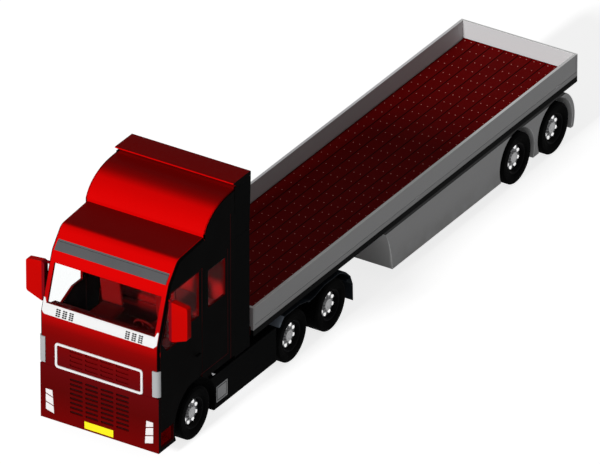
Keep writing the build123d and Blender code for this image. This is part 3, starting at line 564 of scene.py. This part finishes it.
def addPiece(name, bm, finish, body, replaced=(), sharp=32):
    bmesh.ops.recalc_face_normals(bm, faces=bm.faces)
    for face in bm.faces:
        face.smooth = True
    for edge in bm.edges:
        if len(edge.link_faces) != 2 or edge.calc_face_angle(0) > radians(sharp):
            edge.smooth = False
    mesh = bpy.data.meshes.new(name)
    bm.to_mesh(mesh)
    bm.free()
    for one in ([finish] if isinstance(finish, str) else finish):
        mesh.materials.append(finishes[one])
    piece = bpy.data.objects.new(name, mesh)
    scene.collection.objects.link(piece)
    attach(piece, body)
    if replaced:
        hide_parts(*replaced)
    return piece


def setMaterial(made, material):
    for face in {face for vert in made["verts"] for face in vert.link_faces}:
        face.material_index = material


def addBlock(bm, low, high, bevel=0.0, material=0):
    low, high = Vector(low), Vector(high)
    middle, size = (low + high) / 2, high - low
    made = bmesh.ops.create_cube(bm, size=1, matrix=Matrix.Translation(middle) @ Matrix.Diagonal((*size, 1)))
    setMaterial(made, material)
    if bevel:
        edges = {edge for vert in made["verts"] for edge in vert.link_edges}
        bmesh.ops.bevel(bm, geom=list(edges), offset=bevel, segments=2, profile=0.5, affect="EDGES",
                        clamp_overlap=True, material=-1)


def addPeg(bm, segments, foot, head, tall, place, material):
    made = bmesh.ops.create_cone(bm, cap_ends=True, segments=segments, radius1=foot, radius2=head,
                                 depth=tall, matrix=place)
    setMaterial(made, material)


def pushOut(bm, face, way):
    # moves a new copy of the face out, closes the sides, and returns the moved face in a list
    raised = bmesh.ops.extrude_face_region(bm, geom=[face])["geom"]
    verts = [item for item in raised if isinstance(item, bmesh.types.BMVert)]
    bmesh.ops.translate(bm, vec=way, verts=verts)
    return [item for item in raised if isinstance(item, bmesh.types.BMFace)]


def loft(bm, sections, caps=True):
    # sections are loops of as many points each, joined one to the next
    rows = [[bm.verts.new(point) for point in section] for section in sections]
    for here, there in zip(rows, rows[1:]):
        for number in range(len(here)):
            after = (number + 1) % len(here)
            bm.faces.new((here[number], here[after], there[after], there[number]))
    if caps:
        bm.faces.new(rows[0])
        bm.faces.new(rows[-1])


def smoothLine(points, steps):
    # a curve through every point, with steps pieces from each to the next
    ends = [Vector(points[0]) * 2 - Vector(points[1])] + [Vector(point) for point in points]
    ends.append(Vector(points[-1]) * 2 - Vector(points[-2]))
    line = []
    for a, b, c, d in zip(ends, ends[1:], ends[2:], ends[3:]):
        for number in range(steps):
            t = number / steps
            line.append(0.5 * (2 * b + (c - a) * t + (2 * a - 5 * b + 4 * c - d) * t ** 2
                               + (3 * b - a - 3 * c + d) * t ** 3))
    return line + [ends[-2]]


def roundedBox(y, z0, z1, radius, steps=6):
    # a rectangle with round corners, as (y, z) points from the lower right corner on
    points = []
    for number, (cornerY, cornerZ) in enumerate(((y - radius, z0 + radius), (y - radius, z1 - radius),
                                                 (radius - y, z1 - radius), (radius - y, z0 + radius))):
        for step in range(steps + 1):
            turn = (number - 1 + step / steps) * pi / 2
            points.append((cornerY + radius * cos(turn), cornerZ + radius * sin(turn)))
    return points


def addPad(bm, size, radius, crown, channels, place, cuts=22):
    # a stuffed form: round edges, a crowned top, sides drawn in between the corners, and sewn channels
    bmesh.ops.create_cube(bm, size=2)
    bmesh.ops.subdivide_edges(bm, edges=bm.edges[:], cuts=cuts, use_grid_fill=True)
    half = Vector(size) / 2
    for vert in bm.verts:
        u, v, w = vert.co
        spot = Vector((u * half.x, v * half.y, w * half.z))
        core = Vector([max(radius - h, min(h - radius, s)) for s, h in zip(spot, half)])
        out = spot - core
        if out.length > 1e-6:
            spot = core + out.normalized() * radius
        bulge = (1 - u * u) * (1 - v * v)
        spot.x *= 1 - 0.03 * (1 - v * v) * (1 - w * w)
        spot.y *= 1 - 0.03 * (1 - u * u) * (1 - w * w)
        if w > 0:
            dip = sum(max(0, 1 - abs(v - at) / 0.06) ** 2 for at in channels)
            spot.z += (crown * bulge - crown) * w - 0.012 * dip * w * min(1, 4 * bulge)
        vert.co = place @ spot


def spinSection(bm, points, steps, closed, material=0):
    # points are (y, radius); the section turns round the Y axis
    verts = [bm.verts.new((0, y, -radius)) for y, radius in points]
    pairs = list(zip(verts, verts[1:] + verts[:1])) if closed else list(zip(verts, verts[1:]))
    edges = [bm.edges.new(pair) for pair in pairs]
    before = set(bm.faces)
    bmesh.ops.spin(bm, geom=verts + edges, cent=(0, 0, 0), axis=(0, 1, 0), angle=tau, steps=steps,
                   use_merge=True)
    for face in set(bm.faces) - before:
        face.material_index = material


def ringSpots(count, y, radius, shift=0):
    turns = [tau * (number + shift) / count for number in range(count)]
    return [Vector((cos(turn) * radius, y, sin(turn) * radius)) for turn in turns]


def placedCopy(source, spot, flip):
    bm = source.copy()
    if flip:
        bmesh.ops.rotate(bm, cent=(0, 0, 0), matrix=Matrix.Rotation(pi, 3, "Z"), verts=bm.verts)
    bmesh.ops.translate(bm, vec=spot, verts=bm.verts)
    return bm


# Tyres and wheels

tyreLook = {
    "steps": 64,
    # from the bead to the tread, as distance from the middle and radius
    "side": ((0.112, 0.287), (0.119, 0.294), (0.124, 0.306), (0.122, 0.312), (0.133, 0.330),
             (0.143, 0.360), (0.1485, 0.395), (0.150, 0.420), (0.1485, 0.440), (0.1505, 0.446),
             (0.1495, 0.454), (0.144, 0.466), (0.138, 0.478), (0.130, 0.487)),
    "treadRadius": 0.487, "ribs": (0.080, 0.028),
    "blocksTo": 0.120,  # how far the tread's blocks reach to each side
    "blockRise": 0.0125, "blockGap": 0.004, "halfWidth": 0.15,
    "twinFrom": 0.4,  # a node wider than this holds two tyres
    "twinInner": 0.13,  # from the node's inner side to the middle of the inner tyre
}
rimLook = {
    "steps": 48,
    "barrel": ((-0.124, 0.300), (-0.126, 0.286), (-0.112, 0.272), (-0.06, 0.262), (0.06, 0.262),
               (0.112, 0.272), (0.126, 0.286), (0.124, 0.300), (0.121, 0.300), (0.117, 0.285),
               (-0.117, 0.285), (-0.121, 0.300)),
    "disc": ((0.018, 0.268), (0.030, 0.256), (0.042, 0.235), (0.046, 0.205), (0.046, 0.150), (0.040, 0.112)),
    "hub": ((0.034, 0.112), (0.080, 0.110), (0.090, 0.104), (0.094, 0.090), (0.088, 0.084), (0.088, 0.060),
            (0.096, 0.052), (0.099, 0.030), (0.0998, 0.001)),
    # distance from the middle and radius of each ring, and the size of what stands in it
    "caps": 8, "capRing": (0.046, 0.200), "capRadius": 0.050, "capHigh": 0.026,
    "nuts": 10, "nutRing": (0.048, 0.135), "nutSize": (0.013, 0.011, 0.018),
}


def tyreMesh():
    look = tyreLook
    bm = bmesh.new()
    half = list(look["side"]) + [(y, look["treadRadius"]) for y in look["ribs"]]
    spinSection(bm, half + [(-y, radius) for y, radius in reversed(half)], look["steps"], True)
    bmesh.ops.remove_doubles(bm, verts=bm.verts, dist=1e-5)
    bmesh.ops.recalc_face_normals(bm, faces=bm.faces)
    tread = []
    for face in bm.faces:
        centre = face.calc_center_median()
        high = (centre.x ** 2 + centre.z ** 2) ** 0.5
        if high > look["treadRadius"] * 0.995 and abs(centre.y) < look["blocksTo"]:
            tread.append(face)
    bmesh.ops.inset_individual(bm, faces=tread, thickness=look["blockGap"], depth=look["blockRise"])
    return bm


def rimMesh():
    # materials: 0 grey disc, 1 hub, 2 bright caps, 3 dark barrel
    look = rimLook
    bm = bmesh.new()
    spinSection(bm, look["barrel"], look["steps"], True, 3)
    spinSection(bm, look["disc"], look["steps"], False, 0)
    spinSection(bm, look["hub"], look["steps"], False, 1)
    outward = Matrix.Rotation(-pi / 2, 4, "X")
    radius = look["capRadius"]
    flat = Matrix.Diagonal((1, look["capHigh"] / radius, 1, 1))
    for spot in ringSpots(look["caps"], *look["capRing"], 0.5):
        made = bmesh.ops.create_uvsphere(bm, u_segments=16, v_segments=8, radius=radius,
                                         matrix=Matrix.Translation(spot) @ flat @ outward)
        setMaterial(made, 2)
    for spot in ringSpots(look["nuts"], *look["nutRing"]):
        addPeg(bm, 6, *look["nutSize"], Matrix.Translation(spot) @ outward, 1)
    return bm


tyreBase = tyreMesh()
rimBase = rimMesh()
for name in [name for name in nodes if name.startswith("tyre_")]:
    wheel = name[len("tyre_"):]
    low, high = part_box(name)
    body = "wheel_" + wheel
    left = low.y > 0
    outerY = high.y - tyreLook["halfWidth"] if left else low.y + tyreLook["halfWidth"]
    middle = ((low.x + high.x) / 2, outerY, (low.z + high.z) / 2)
    tyre = placedCopy(tyreBase, middle, not left)
    if high.y - low.y > tyreLook["twinFrom"]:
        innerY = low.y + tyreLook["twinInner"] if left else high.y - tyreLook["twinInner"]
        inner = placedCopy(tyreBase, (middle[0], innerY, middle[2]), not left)
        spare = bpy.data.meshes.new("inner")
        inner.to_mesh(spare)
        tyre.from_mesh(spare)
        bpy.data.meshes.remove(spare)
        inner.free()
    addPiece("round_" + name, tyre, "tyreRubber", body, (name,), 28)
    rim = placedCopy(rimBase, middle, not left)
    metals = ("discGrey", "hubGrey", "capBright", "chassisSteel")
    addPiece("round_rim_" + wheel, rim, metals, body, ("rim_" + wheel,), 35)
print("wheels fitted")


# Front: plate, lamps, grille backing and vents

plateLook = {"y": (-0.317, 0.293), "z": (0.29, 0.435), "thick": 0.008, "border": 0.012}
lampLook = {
    "outer": 1.134, "innerLow": 0.960, "innerHigh": 0.994, "low": 0.378, "high": 0.868, "outerRise": 0.048,
    "dividers": (0.545, 0.715), "gap": 0.022, "surround": (0.915, 1.152, 0.364, 0.882), "proud": 0.0015,
    "deep": 0.012, "lens": (0.004, 0.007), "lensSteps": ((0.008, 0.003), (0.02, 0.002)),
}
rearLampLook = {"y": (0.352, 0.428), "caseX": (0.012, 0.040), "caseZ": (0.672, 0.938), "rim": 0.008,
                "lensThick": 0.014, "redZ": (0.80, 0.93), "amberZ": (0.68, 0.79)}
trimLook = {
    "frame": (0.926, 1.362, 1.870), "bar": 0.046, "round": 0.064, "innerRound": 0.030, "proud": 0.020,
    "band": ((2.385, 1.150), (2.400, 1.165), (2.445, 1.210), (2.578, 1.210)), "bandProud": 0.008,
    "ears": ((2.578, 1.140, 1.210), (2.668, 1.180, 1.210)), "slopeZ": 2.40, "slope": 300 / 885,
}
grilleLook = {"columns": (-0.4875, -0.1625, 0.1625, 0.4875), "rows": 8, "lowZ": 0.53, "pitch": 0.095,
              "slat": (0.125, 0.004, 0.010), "screen": (0.66, 0.49, 1.24), "thick": 0.012}
ventLook = {"columns": (0.592, 0.730, 0.868), "rows": 4, "lowZ": 2.418, "pitch": 0.036,
            "size": (0.004, 0.042, 0.027), "pair": 0.049, "round": 0.009, "lean": 18.7, "proud": 0.0095}


def skinX(z):  # the cab's front, which leans back above its bend
    return noseX - max(0, z - trimLook["slopeZ"]) * trimLook["slope"]


def makePlate():
    bm = bmesh.new()
    (y0, y1), (z0, z1) = plateLook["y"], plateLook["z"]
    x0, x1 = noseX, noseX + plateLook["thick"]
    addBlock(bm, (x0 + 0.0003, y0, z0), (x1, y1, z1), 0.003)
    front = max(bm.faces, key=lambda face: face.calc_center_median().x + face.calc_area())
    bmesh.ops.inset_region(bm, faces=[front], thickness=plateLook["border"], depth=0)
    bmesh.ops.inset_region(bm, faces=[front], thickness=0.002, depth=-0.002)
    addPiece("number_plate", bm, "plateYellow", "tractor")


def makeFrontTrim():
    # the grille's frame with round corners, and the band that follows the front up from its bend
    look = trimLook
    bm = bmesh.new()
    half, z0, z1 = look["frame"]
    bar, soft = look["bar"], 0.004
    outer = roundedBox(half, z0, z1, look["round"])
    outerSoft = roundedBox(half - soft, z0 + soft, z1 - soft, look["round"] - soft)
    inner = roundedBox(half - bar, z0 + bar, z1 - bar, look["innerRound"])
    innerSoft = roundedBox(half - bar + soft, z0 + bar - soft, z1 - bar + soft, look["innerRound"] + soft)
    x0, x1 = noseX + 0.0003, noseX + look["proud"]
    rows = [[(x0, *a), (x1 - soft, *a), (x1, *b), (x1, *c), (x1 - soft, *d), (x0, *d)]
            for a, b, c, d in zip(outer, outerSoft, innerSoft, inner)]
    loft(bm, rows + rows[:1], caps=False)

    band = [(z, -wide, wide) for z, wide in look["band"]]
    for levels in (band, look["ears"], [(z, -high, -low) for z, low, high in look["ears"]]):
        sections = []
        for z, y0, y1 in levels:
            x0 = skinX(z) + 0.0003
            x1 = x0 + look["bandProud"]
            sections.append([(x0, y0, z), (x0, y1, z), (x1, y1, z), (x1, y0, z)])
        loft(bm, sections)
    bmesh.ops.remove_doubles(bm, verts=bm.verts, dist=1e-6)
    addPiece("front_trim_shaped", bm, "whiteTrim", "tractor", ("front_trim",))


def makeHeadLamps():
    bm = bmesh.new()
    look = lampLook
    face = noseX + look["proud"]
    edges = (look["low"], *look["dividers"], look["high"])
    y0, y1, z0, z1 = look["surround"]
    for side in (1, -1):
        low, high = sorted((side * y0, side * y1))
        addBlock(bm, (noseX - look["deep"], low, z0), (face, high, z1), 0.001, 4)

    def innerY(z):
        part = (z - look["low"]) / (look["high"] - look["low"])
        return look["innerLow"] + (look["innerHigh"] - look["innerLow"]) * part

    for side in (1, -1):
        for number in range(3):
            inLow, inHigh = edges[number] + look["gap"] / 2, edges[number + 1] - look["gap"] / 2
            rises = (look["outerRise"], look["outerRise"] if number < 2 else 0)
            corners = ((innerY(inLow), inLow), (innerY(inHigh), inHigh), (look["outer"], inHigh + rises[1]),
                       (look["outer"], inLow + rises[0]))
            corners = corners[::-side]  # so that each lens looks forward
            sunk, thick = look["lens"]
            lens = bm.faces.new([bm.verts.new((face - sunk, side * y, z)) for y, z in corners])
            front = pushOut(bm, lens, (thick, 0, 0))
            for border, lift in look["lensSteps"]:
                bmesh.ops.inset_region(bm, faces=front, thickness=border, depth=lift)
    look = rearLampLook
    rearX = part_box("lamps")[0].x
    lensX, rim = rearX + look["lensThick"], look["rim"]
    x0, x1 = (rearX + x for x in look["caseX"])
    z0, z1 = look["caseZ"]
    for side in (1, -1):  # the tractor's rear lamps: a black case and two lenses
        y0, y1 = sorted(side * y for y in look["y"])
        addBlock(bm, (x0, y0, z0), (x1, y1, z1), 0.004, 1)
        for (low, high), material in ((look["redZ"], 2), (look["amberZ"], 3)):
            addBlock(bm, (rearX, y0 + rim, low), (lensX, y1 - rim, high), 0.005, material)
    addPiece("lamp_units", bm, ("lensClear", "gapBlack", "lensRed", "lensAmber", "cabPaint"), "tractor",
             ("lamps",))


def makeGrilleBack():
    # a dark red screen behind the cut slots, its darkness painted shade for their insides, with a slat across
    # each slot
    look = grilleLook
    bm = bmesh.new()
    backX = bumperLow.x
    half, z0, z1 = look["screen"]
    wide, tall, inset = look["slat"]
    addBlock(bm, (backX - look["thick"], -half, z0), (backX - 0.0005, half, z1), 0.002)
    for y in look["columns"]:
        for row in range(look["rows"]):
            z = look["lowZ"] + row * look["pitch"]
            addBlock(bm, (backX, y - wide, z - tall), (noseX - inset, y + wide, z + tall), 0.0015, 1)
    addPiece("grille_screen", bm, ("slotRed", "gapBlack"), "tractor")


def makeVents():
    # short round-cornered slots in the white band, in pairs of columns
    look = ventLook
    bm = bmesh.new()
    lean = Matrix.Rotation(-radians(look["lean"]), 3, "Y")
    centres = [(side * column + pair * look["pair"], look["lowZ"] + row * look["pitch"])
               for side in (1, -1) for column in look["columns"] for pair in (-0.5, 0.5)
               for row in range(look["rows"])]
    for y, z in centres:
        verts = bmesh.ops.create_cube(bm, size=1)["verts"]
        bmesh.ops.scale(bm, vec=look["size"], verts=verts)
        edges = [edge for edge in {edge for vert in verts for edge in vert.link_edges}
                 if abs(edge.verts[0].co.x - edge.verts[1].co.x) > look["size"][0] / 2]
        result = bmesh.ops.bevel(bm, geom=edges, offset=look["round"], segments=3, profile=0.5,
                                 affect="EDGES", material=-1)
        verts = list({vert for face in result["faces"] for vert in face.verts}
                     | {vert for vert in verts if vert.is_valid})
        bmesh.ops.rotate(bm, cent=(0, 0, 0), matrix=lean, verts=verts)
        bmesh.ops.translate(bm, vec=(skinX(z) + look["proud"], y, z), verts=verts)
    addPiece("band_vents", bm, "gapBlack", "tractor")


makePlate()
makeFrontTrim()
makeHeadLamps()
makeGrilleBack()
makeVents()
print("front fitted")


# Sides, roof, seats and platform

hatchLook = {"x": (-1.07, -0.70), "z": (0.36, 0.69), "frame": 0.035, "gap": 0.022,
             "catchAt": (0.09, 0.165), "catchSize": (0.014, 0.014, 0.003)}


def makeHatches():
    # a framed lid with a gap round it and a quarter-turn catch, on each side
    bm = bmesh.new()
    x0, x1 = (axleX + x for x in hatchLook["x"])
    z0, z1 = hatchLook["z"]
    for side in (1, -1):
        inner, outer = sorted((side * (halfWidth - 0.0057), side * (halfWidth - 0.001)))
        addBlock(bm, (x0 + 0.001, inner, z0 + 0.001), (x1 - 0.001, outer, z1 - 0.001), 0.001)
    fronts = [face for face in bm.faces if abs(face.calc_center_median().y) > halfWidth - 0.002
              and face.calc_area() > 0.05]
    bmesh.ops.inset_individual(bm, faces=fronts, thickness=hatchLook["frame"], depth=0)
    bmesh.ops.inset_individual(bm, faces=fronts, thickness=0.004, depth=-0.004)
    ring = bmesh.ops.inset_individual(bm, faces=fronts, thickness=hatchLook["gap"], depth=0)
    for face in ring["faces"]:
        face.material_index = 1
    bmesh.ops.inset_individual(bm, faces=fronts, thickness=0.003, depth=0.0035)
    alongX, upZ = hatchLook["catchAt"]
    for side in (1, -1):
        place = Matrix.Translation((x0 + alongX, side * (halfWidth - 0.001), z0 + upZ))
        addPeg(bm, 20, *hatchLook["catchSize"], place @ Matrix.Rotation(pi / 2, 4, "X"), 2)
    addPiece("side_hatches", bm, ("lightTrim", "gapBlack", "hubGrey"), "tractor")


mirrorLook = {"x": 0.819, "thick": 0.004,
              "outline": ((1.345, 2.51), (1.345, 3.19), (1.665, 3.165), (1.665, 2.65))}


def makeMirrorGlass():
    for side, word in ((1, "left"), (-1, "right")):
        bm = bmesh.new()
        x = axleX + mirrorLook["x"]
        glass = bm.faces.new([bm.verts.new((x, side * y, z)) for y, z in mirrorLook["outline"]])
        pushOut(bm, glass, (-mirrorLook["thick"], 0, 0))
        addPiece("mirror_glass_" + word, bm, "mirrorSilver", word + "_door")


roofLook = {
    "line": ((-0.320, 3.990), (-0.365, 4.070), (-0.420, 4.143), (-0.490, 4.211), (-0.575, 4.272),
             (-0.675, 4.326), (-0.790, 4.371), (-0.920, 4.405), (-1.060, 4.427), (-1.300, 4.442)),
    "skin": 0.025, "sheetEndX": -1.31, "tailX": -1.78, "footDeep": 0.10,
    "roofRear": (-1.300, 4.000), "roofFall": 0.130 / 1.810, "sink": 0.055,
    "wing": (-1.850, -1.270, 4.470, 4.570), "wingRound": 0.014, "wingLean": 0.10,
}
linerLook = {
    "steps": 30, "wall": 0.012, "inner": 0.60,
    # middle's x, radius, first and last turn, outer side; the flange is turned out behind the panels
    "front": ((0, 0.6747, 34, 109, 1.194), (0, 0.6747, 109, 202, 1.245)),
    "flange": (0.665, 0.80, 100, 170, 1.182, 1.190),
    "rear": ((-10.88, 0.6097, 78, 204, 1.245), (-12.20, 0.6097, 78, 204, 1.245)),
}


def makeRoofFairing():
    # a smooth sheet with closed sides, its flat tail, and the wing with a round front edge
    look = roofLook
    bm = bmesh.new()
    line = [(axleX + point.x, point.y) for point in smoothLine(look["line"], 5)]
    skin, half = look["skin"], halfWidth
    line.append((axleX + look["sheetEndX"], line[-1][1]))
    sheet = []
    for number, (x, z) in enumerate(line):
        before, after = line[max(0, number - 1)], line[min(len(line) - 1, number + 1)]
        run = Vector((after[0] - before[0], after[1] - before[1])).normalized()
        inner = (x - run.y * skin, z + run.x * skin)
        sheet.append([(x, -half, z), (x, half, z), (inner[0], half, inner[1]), (inner[0], -half, inner[1])])
    loft(bm, sheet)
    rearX, rearZ = look["roofRear"]
    for side in (1, -1):
        y0, y1 = sorted((side * (half - skin), side * half))
        cheek = []
        for x, z in line:
            roofZ = rearZ - (x - axleX - rearX) * look["roofFall"] - look["sink"]
            cheek.append([(x, y0, z), (x, y1, z), (x, y1, roofZ), (x, y0, roofZ)])
        loft(bm, cheek)
    footX, footZ = line[0]
    addBlock(bm, (footX - skin, -half, footZ - look["footDeep"]), (footX, half, footZ))
    endX, endZ = line[-1]
    inside = half - skin - 0.0003
    addBlock(bm, (axleX + look["tailX"], -inside, endZ - skin), (endX + 0.02, inside, endZ), 0.002)
    rearX, noseTipX, z0, z1 = look["wing"]
    rearX += axleX
    soft, lean = look["wingRound"], look["wingLean"]
    nose = axleX + noseTipX - soft  # the front edge is round above and draws back below
    turns = [pi / 2 * step / 6 for step in range(7)]
    profile = [(nose + soft * sin(turn), z1 - soft + soft * cos(turn)) for turn in turns]
    profile += [(nose + soft - 0.2 * lean, z1 - 2.4 * soft), (nose - lean, z0)]
    profile += [(rearX + soft, z0), (rearX, z0 + soft), (rearX, z1 - soft), (rearX + soft, z1)]
    loft(bm, [[(x, y, z) for x, z in profile] for y in (-half, half)])
    addPiece("roof_fairing", bm, "cabPaint", "tractor", ("roof_deflector",), 28)


def addArch(bm, x, first, last, rLow, rHigh, y0, y1):
    # part of a ring round a wheel's middle, on both sides of the lorry
    steps = linerLook["steps"]
    turns = [radians(first + (last - first) * step / steps) for step in range(steps + 1)]
    for side in (1, -1):
        loft(bm, [[(axleX + x + r * cos(turn), side * y, wheelRadius + r * sin(turn))
                   for r, y in ((rHigh, y0), (rHigh, y1), (rLow, y1), (rLow, y0))] for turn in turns])


def makeLiners():
    look = linerLook
    for name, finish, body, slotName in (("front", "blackPlastic", "tractor", "black_plastic"),
                                         ("rear", "greyPaint", "trailer", "grey_paint")):
        bm = bmesh.new()
        for x, radius, first, last, outer in look[name]:
            addArch(bm, x, first, last, radius - look["wall"], radius, look["inner"], outer)
        if name == "front":
            rLow, rHigh, first, last, y0, y1 = look["flange"]
            addArch(bm, 0, first, last, rLow, rHigh, y0, y1)
        addPiece("arch_liners_" + name, bm, finish, body)


seatLook = {
    # size, round of the edges and crown of each pad
    "cushion": ((0.52, 0.48, 0.12), 0.045, 0.018), "cushionAt": (0.065, 0.58, 2.05),
    "back": ((0.75, 0.44, 0.10), 0.040, 0.016), "backAt": (-0.113, 0.58, 2.500), "backLean": 8.1,
    "mattress": ((0.61, 2.34, 0.13), 0.05, 0.016), "mattressAt": (-0.935, 0, 2.083), "mattressCuts": 30,
    "channels": (-0.45, 0.45), "bunkChannels": (-0.66, -0.33, 0, 0.33, 0.66),
    "base": (1.642, 1.985), "bellows": (7, 0.050, 0.058),
    "bunk": ((-1.248, -1.188, 1.642), (-0.624, 1.188, 2.010)),
}


def makeSeats():
    look = seatLook
    for side, word in ((1, "left"), (-1, "right")):
        x, y, z = look["cushionAt"]
        place = Matrix.Translation((axleX + x, side * y, z))
        bm = bmesh.new()
        addPad(bm, *look["cushion"], look["channels"], place)
        pad = addPiece("seat_cushion_" + word, bm, "seatCloth", "tractor", ("cab_seats",), 60)
        x, y, z = look["backAt"]
        place = Matrix.Translation((axleX + x, side * y, z))
        place = place @ Matrix.Rotation(-radians(90 - look["backLean"]), 4, "Y") @ Matrix.Rotation(pi, 4, "Z")
        bm = bmesh.new()
        addPad(bm, *look["back"], look["channels"], place)
        pad = addPiece("seat_back_" + word, bm, "seatCloth", "tractor", (), 60)
        bm = bmesh.new()
        low, high = look["base"]
        rings, narrow, broad = look["bellows"]
        middle = Vector((axleX, side * look["cushionAt"][1], 0))
        for number in range(rings):  # the bellows of a sprung seat
            z0 = low + (high - low) * number / rings
            z1 = low + (high - low) * (number + 1) / rings
            wide = broad if number % 2 else narrow
            addBlock(bm, middle + Vector((-wide, -wide, z0)), middle + Vector((wide, wide, z1)), 0.010)
        addPiece("seat_base_" + word, bm, "dashPlastic", "tractor")
    bm = bmesh.new()
    x, y, z = look["mattressAt"]
    place = Matrix.Translation((axleX + x, y, z))
    addPad(bm, *look["mattress"], look["bunkChannels"], place, look["mattressCuts"])
    pad = addPiece("bunk_mattress", bm, "seatCloth", "tractor", (), 60)
    bm = bmesh.new()
    (x0, y0, z0), (x1, y1, z1) = look["bunk"]
    addBlock(bm, (axleX + x0, y0, z0), (axleX + x1, y1, z1), 0.012)
    fronts = [face for face in bm.faces if face.calc_area() > 0.5 and face.normal.x > 0.9]
    bmesh.ops.inset_individual(bm, faces=fronts, thickness=0.03, depth=0)
    bmesh.ops.inset_individual(bm, faces=fronts, thickness=0.004, depth=-0.006)
    addPiece("bunk_base", bm, "dashPlastic", "tractor")


handleLook = {"x": (-0.175, -0.045), "z": 1.63, "thick": 0.018, "stand": 0.030, "tall": 0.028}


def makeHandles():
    look = handleLook
    for side, word in ((1, "left"), (-1, "right")):
        bm = bmesh.new()
        x0, x1 = (axleX + x for x in look["x"])
        out = side * (halfWidth + look["stand"])
        y0, y1 = sorted((out, out - side * look["thick"]))
        addBlock(bm, (x0, y0, look["z"]), (x1, y1, look["z"] + look["tall"]), 0.006)
        for x in (x0 + 0.004, x1 - 0.026):
            y0, y1 = sorted((side * (halfWidth + 0.0003), out - side * 0.004))
            addBlock(bm, (x, y0, look["z"] + 0.003), (x + 0.022, y1, look["z"] + look["tall"] - 0.003), 0.004)
        addPiece("door_handle_" + word, bm, "blackPlastic", word + "_door")


def makeScrews():
    # screw heads on the planks, two rows to a plank
    bm = bmesh.new()
    low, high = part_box("trailer_floor")
    z = high.z - planks["screwUnder"]
    width = 2 * planks["half"] / planks["count"]
    first, last = low.x + planks["screwEnds"], high.x - planks["screwEnds"]
    pitch = (last - first) / (planks["screwsLong"] - 1)
    for plank in range(planks["count"]):
        for shift in planks["screwsAcross"]:
            y = -planks["half"] + (plank + shift) * width
            for number in range(planks["screwsLong"]):
                place = Matrix.Translation((first + pitch * number, y, z)) @ Matrix.Diagonal((1, 1, 0.5, 1))
                bmesh.ops.create_icosphere(bm, subdivisions=1, radius=planks["screwRadius"], matrix=place)
    addPiece("plank_screws", bm, "screwZinc", "trailer")


makeHatches()
makeMirrorGlass()
makeHandles()
makeRoofFairing()
makeLiners()
makeSeats()
makeScrews()
print("sides and platform fitted")
